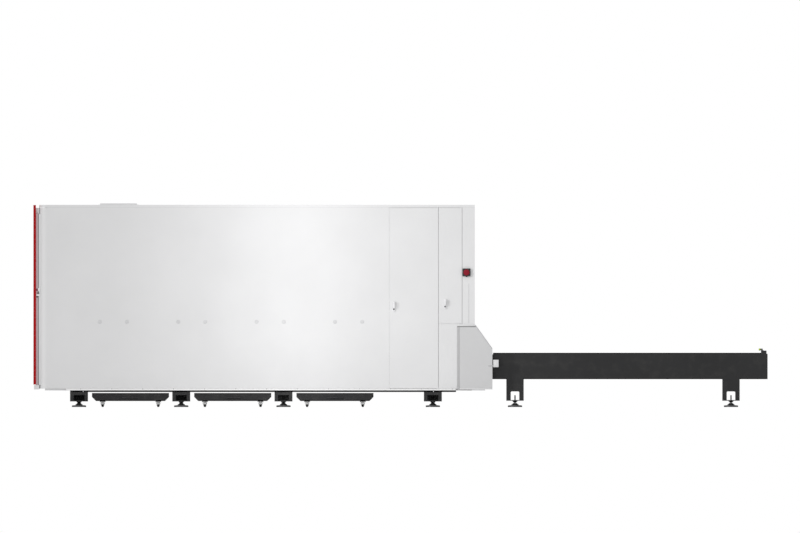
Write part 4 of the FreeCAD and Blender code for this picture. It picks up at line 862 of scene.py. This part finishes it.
def sensor_parts():
    """The pallet sensor's bright tip and its two clamping nuts."""
    low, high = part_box("pallet_sensor")
    y, z = -0.980, high.z - 0.0105
    tip = turned([(0, 0), (0.0100, 0), (0.0122, 0.0020), (0.0122, 0.0165), (0.0112, 0.0175),
                  (0.0100, 0.0175), (0.0100, 0.0010), (0, 0.0010)],
                 (low.x - 0.0012, y, z), (1, 0, 0), 32)
    piece("sensor_tip", [tip], ["sensor_green"], "machine")
    nuts = []
    for x in (low.x + 0.0270, low.x + 0.0385):
        nut = bmesh.new()
        bmesh.ops.create_cone(nut, cap_ends=True, segments=6, radius1=0.0150, radius2=0.0150,
                              depth=0.0045)
        ease(nut, sharp_edges(nut, 70), 0.0008, 1)
        bmesh.ops.rotate(nut, cent=(0, 0, 0), matrix=Matrix.Rotation(math.radians(90), 3, "Y"),
                         verts=nut.verts)
        bmesh.ops.translate(nut, vec=(x, y, z), verts=nut.verts)
        nuts.append(nut)
    piece("sensor_nuts", nuts, ["zinc"], "machine")


sensor_parts()


# ---- gantry and cutting head --------------------------------------------------------------
def motor_covers():
    """A bolted cover on the inner end of each of the gantry's two drive motors."""
    low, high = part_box("gantry_motors")
    length, margin, thick, inset = 0.155, 0.006, 0.006, 0.014
    middle = (low + high) / 2
    reach_x, reach_z = (high.x - low.x) / 2 - inset, (high.z - low.z) / 2 - inset
    shapes = []
    for face, inward in ((low.y + length, 1), (high.y - length, -1)):
        y0, y1 = span(inward, -0.0005, thick, face)
        shapes.append((block((low.x + margin, y0, low.z + margin),
                             (high.x - margin, y1, high.z - margin), 0.001, 0.008, 1), 0))
        shapes += [(cap_screw((middle.x + sx * reach_x, face + inward * thick,
                               middle.z + sz * reach_z), (0, inward, 0), 0.0035, 0.003), 1)
                   for sx in (-1, 1) for sz in (-1, 1)]
    piece("gantry_motor_covers", shapes, ["motor_paint", "zinc"], "gantry")


motor_covers()


def head_details():
    """The nozzle, its knurled nut, the ceramic ring, the lens drawer and the head's collar."""
    low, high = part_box("cutting_head")
    x, y, z = low.x + 0.032, (low.y + high.y) / 2, low.z
    nozzle = turned([(0.0016, 0), (0.0042, 0.0), (0.0052, 0.0015), (0.0146, 0.0235),
                     (0.0146, 0.0252), (0.0016, 0.0252), (0.0016, 0)], (x, y, z - 0.0001))
    nut = turned([(0.0100, 0.0240), (0.0185, 0.0240), (0.0195, 0.0255), (0.0195, 0.0320),
                  (0.0185, 0.0335), (0.0100, 0.0335), (0.0100, 0.0240)], (x, y, z))
    ring = turned([(0.0150, 0.0330), (0.0220, 0.0330), (0.0235, 0.0345), (0.0235, 0.0400),
                   (0.0225, 0.0410), (0.0150, 0.0410), (0.0150, 0.0330)], (x, y, z))
    knurls, knurl_count = [], 24
    for i in range(knurl_count):
        knurl = block((0.0190, -0.0008, 0.0262), (0.0202, 0.0008, 0.0314), 0.0)
        turn = Matrix.Rotation(math.tau * i / knurl_count, 3, "Z")
        bmesh.ops.rotate(knurl, cent=(0, 0, 0), matrix=turn, verts=knurl.verts)
        bmesh.ops.translate(knurl, vec=(x, y, z), verts=knurl.verts)
        knurls.append((knurl, 0))
    drawer = block((x - 0.044, y - 0.019, z + 0.125), (x - 0.0315, y + 0.019, z + 0.146), 0.0015,
                   0.004, 0)
    knob = rounded_rod(0.0065, (x - 0.044, y, z + 0.1355), (-1, 0, 0), 0.008, 0.0015)
    collar = turned([(0.0245, 0), (0.0290, 0), (0.0295, 0.001), (0.0295, 0.011), (0.0285, 0.012),
                     (0.0245, 0.012), (0.0245, 0)], (x, y, z + 0.360))
    top = turned([(0, 0), (0.0180, 0), (0.0180, 0.010), (0.0120, 0.016), (0, 0.016)],
                 (x, y, high.z - 0.001))
    screws = [(cap_screw((x - 0.032, y + sy * 0.024, z + dz), (-1, 0, 0), 0.0035, 0.003), 3)
              for sy in (-1, 1) for dz in (0.150, 0.320)]
    piece("head_fittings",
          [(nozzle, 0), (nut, 0), (ring, 1), (drawer, 2), (knob, 2), (collar, 3), (top, 2)]
          + knurls + screws,
          ["copper", "ceramic", "black_plastic", "zinc"], "head")


head_details()


def gantry_bolts():
    """The screws that hold the beam's two feet to their guide blocks."""
    low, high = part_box("gantry_beam")
    middle, foot_top = low.x + 0.200, 0.690
    shapes = [cap_screw((middle + dx, side * (high.y - dy), foot_top), (0, 0, 1), 0.007, 0.007)
              for side in (-1, 1) for dx in (-0.180, -0.130, 0.130, 0.180)
              for dy in (0.018, 0.066)]
    piece("gantry_foot_screws", shapes, ["zinc"], "gantry")


gantry_bolts()


def rail_screws():
    """Screw heads sunk along the top of both bed rails."""
    low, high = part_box("bed_rails_and_racks")
    rail_y, rail_top, count = 0.980, 0.6455, 34
    shapes = [cap_screw((x, side * rail_y, rail_top), (0, 0, 1), 0.0065, 0.0010)
              for side in (-1, 1)
              for x in steps_between(low.x + 0.06, high.x - 0.06, count)]
    piece("bed_rail_screws", shapes, ["rail_steel"], "machine")


rail_screws()


def cabin_lamps():
    """Two light bars under the roof, each a tray with a frosted cover and end caps."""
    start, end, z = -2.9, -0.4, 2.196
    shapes = []
    for y in (-0.78, 0.78):
        shapes.append((block((start, y - 0.030, z), (end, y + 0.030, z + 0.006), 0.001), 1))
        shapes.append((block((start + 0.01, y - 0.024, z - 0.022), (end - 0.01, y + 0.024, z),
                             0.009, steps=4), 0))
        shapes += [(block((x - 0.010, y - 0.026, z - 0.024), (x + 0.010, y + 0.026, z + 0.0005),
                          0.003), 2) for x in (start + 0.012, end - 0.012)]
    piece("cabin_lamps", shapes, ["lamp_cover", "white_paint", "white_plastic"], "machine")


cabin_lamps()


# ---- floor, light and camera --------------------------------------------------------------
FLOOR_SIZE = 240                          # wide, so a low view doesn't run off its far edge


def studio():
    """A plain pale floor and soft white light, brightest on the middle of the cabin's side."""
    bpy.ops.mesh.primitive_plane_add(size=FLOOR_SIZE, location=(0, 0, -0.0005))
    floor = bpy.context.object
    floor.name = "floor"
    material, tree, shader = new_material("pale_floor")
    drift = noise(tree, 0.6)
    tree.links.new(tint(tree, drift, (0.86, 0.86, 0.86), (0.88, 0.88, 0.88)),
                   shader.inputs["Base Color"])
    shader.inputs["Roughness"].default_value = 0.9
    floor.data.materials.append(material)

    world = bpy.data.worlds.new("studio")
    world.use_nodes = True
    bpy.context.scene.world = world
    nodes, links = world.node_tree.nodes, world.node_tree.links
    # the camera sees plain white behind the machine, which is lit a little less brightly
    seen = nodes.new("ShaderNodeBackground")
    seen.inputs["Color"].default_value = (1, 1, 1, 1)
    seen.inputs["Strength"].default_value = 1.0
    lit = nodes["Background"]
    lit.inputs["Color"].default_value = (1, 1, 1, 1)
    lit.inputs["Strength"].default_value = 0.64
    path = nodes.new("ShaderNodeLightPath")
    mix = nodes.new("ShaderNodeMixShader")
    links.new(path.outputs["Is Camera Ray"], mix.inputs[0])
    links.new(lit.outputs[0], mix.inputs[1])
    links.new(seen.outputs[0], mix.inputs[2])
    links.new(mix.outputs[0], nodes["World Output"].inputs["Surface"])

    # the two side lamps and the rear fill leave the floor alone
    unlit = bpy.data.collections.new("not_lit_by_panels")
    unlit.objects.link(floor)
    unlit.collection_objects[0].light_linking.link_state = "EXCLUDE"

    def light(data, place, target):
        """Hangs a lamp at a place, aimed at a target and out of the camera's sight."""
        lamp = bpy.data.objects.new(data.name, data)
        lamp.location = place
        lamp.rotation_euler = (Vector(target) - Vector(place)).to_track_quat("-Z", "Y").to_euler()
        lamp.visible_camera = False
        bpy.context.scene.collection.objects.link(lamp)
        return lamp

    panel_height, panel_z = 4.5, 1.3
    for name, x, y, width, power in (("side_strip", -1.25, -2.85, 0.5, 19),
                                     ("side_fill", 0.6, -3.4, 0.8, 9)):
        data = bpy.data.lights.new(name, "AREA")
        data.shape = "RECTANGLE"
        data.size, data.size_y = width, panel_height
        data.energy = power
        lamp = light(data, (x, y, panel_z), (x, -1.15, panel_z))
        lamp.light_linking.receiver_collection = unlit
    key = bpy.data.lights.new("key", "SUN")
    key.angle = 0.08
    key.energy = 0.72
    light(key, (-16, -12, 5.0), (0, 0, 1.0))
    rear_fill = bpy.data.lights.new("rear_fill", "SUN")
    rear_fill.angle = 0.9
    rear_fill.energy = 0.26
    light(rear_fill, (20, 6, 8.0), (0, 0, 1.0)).light_linking.receiver_collection = unlit


def camera():
    """A level view of the operator's side, without perspective."""
    data = bpy.data.cameras.new("side_view")
    data.type = "ORTHO"
    data.ortho_scale = 8.96
    data.clip_end = 400
    eye = bpy.data.objects.new("side_view", data)
    eye.location = (-0.0056, -40, 1.5736)
    eye.rotation_euler = (math.radians(90), 0, 0)
    bpy.context.scene.collection.objects.link(eye)
    bpy.context.scene.camera = eye
    bpy.context.scene.view_settings.view_transform = "Standard"


studio()
camera()
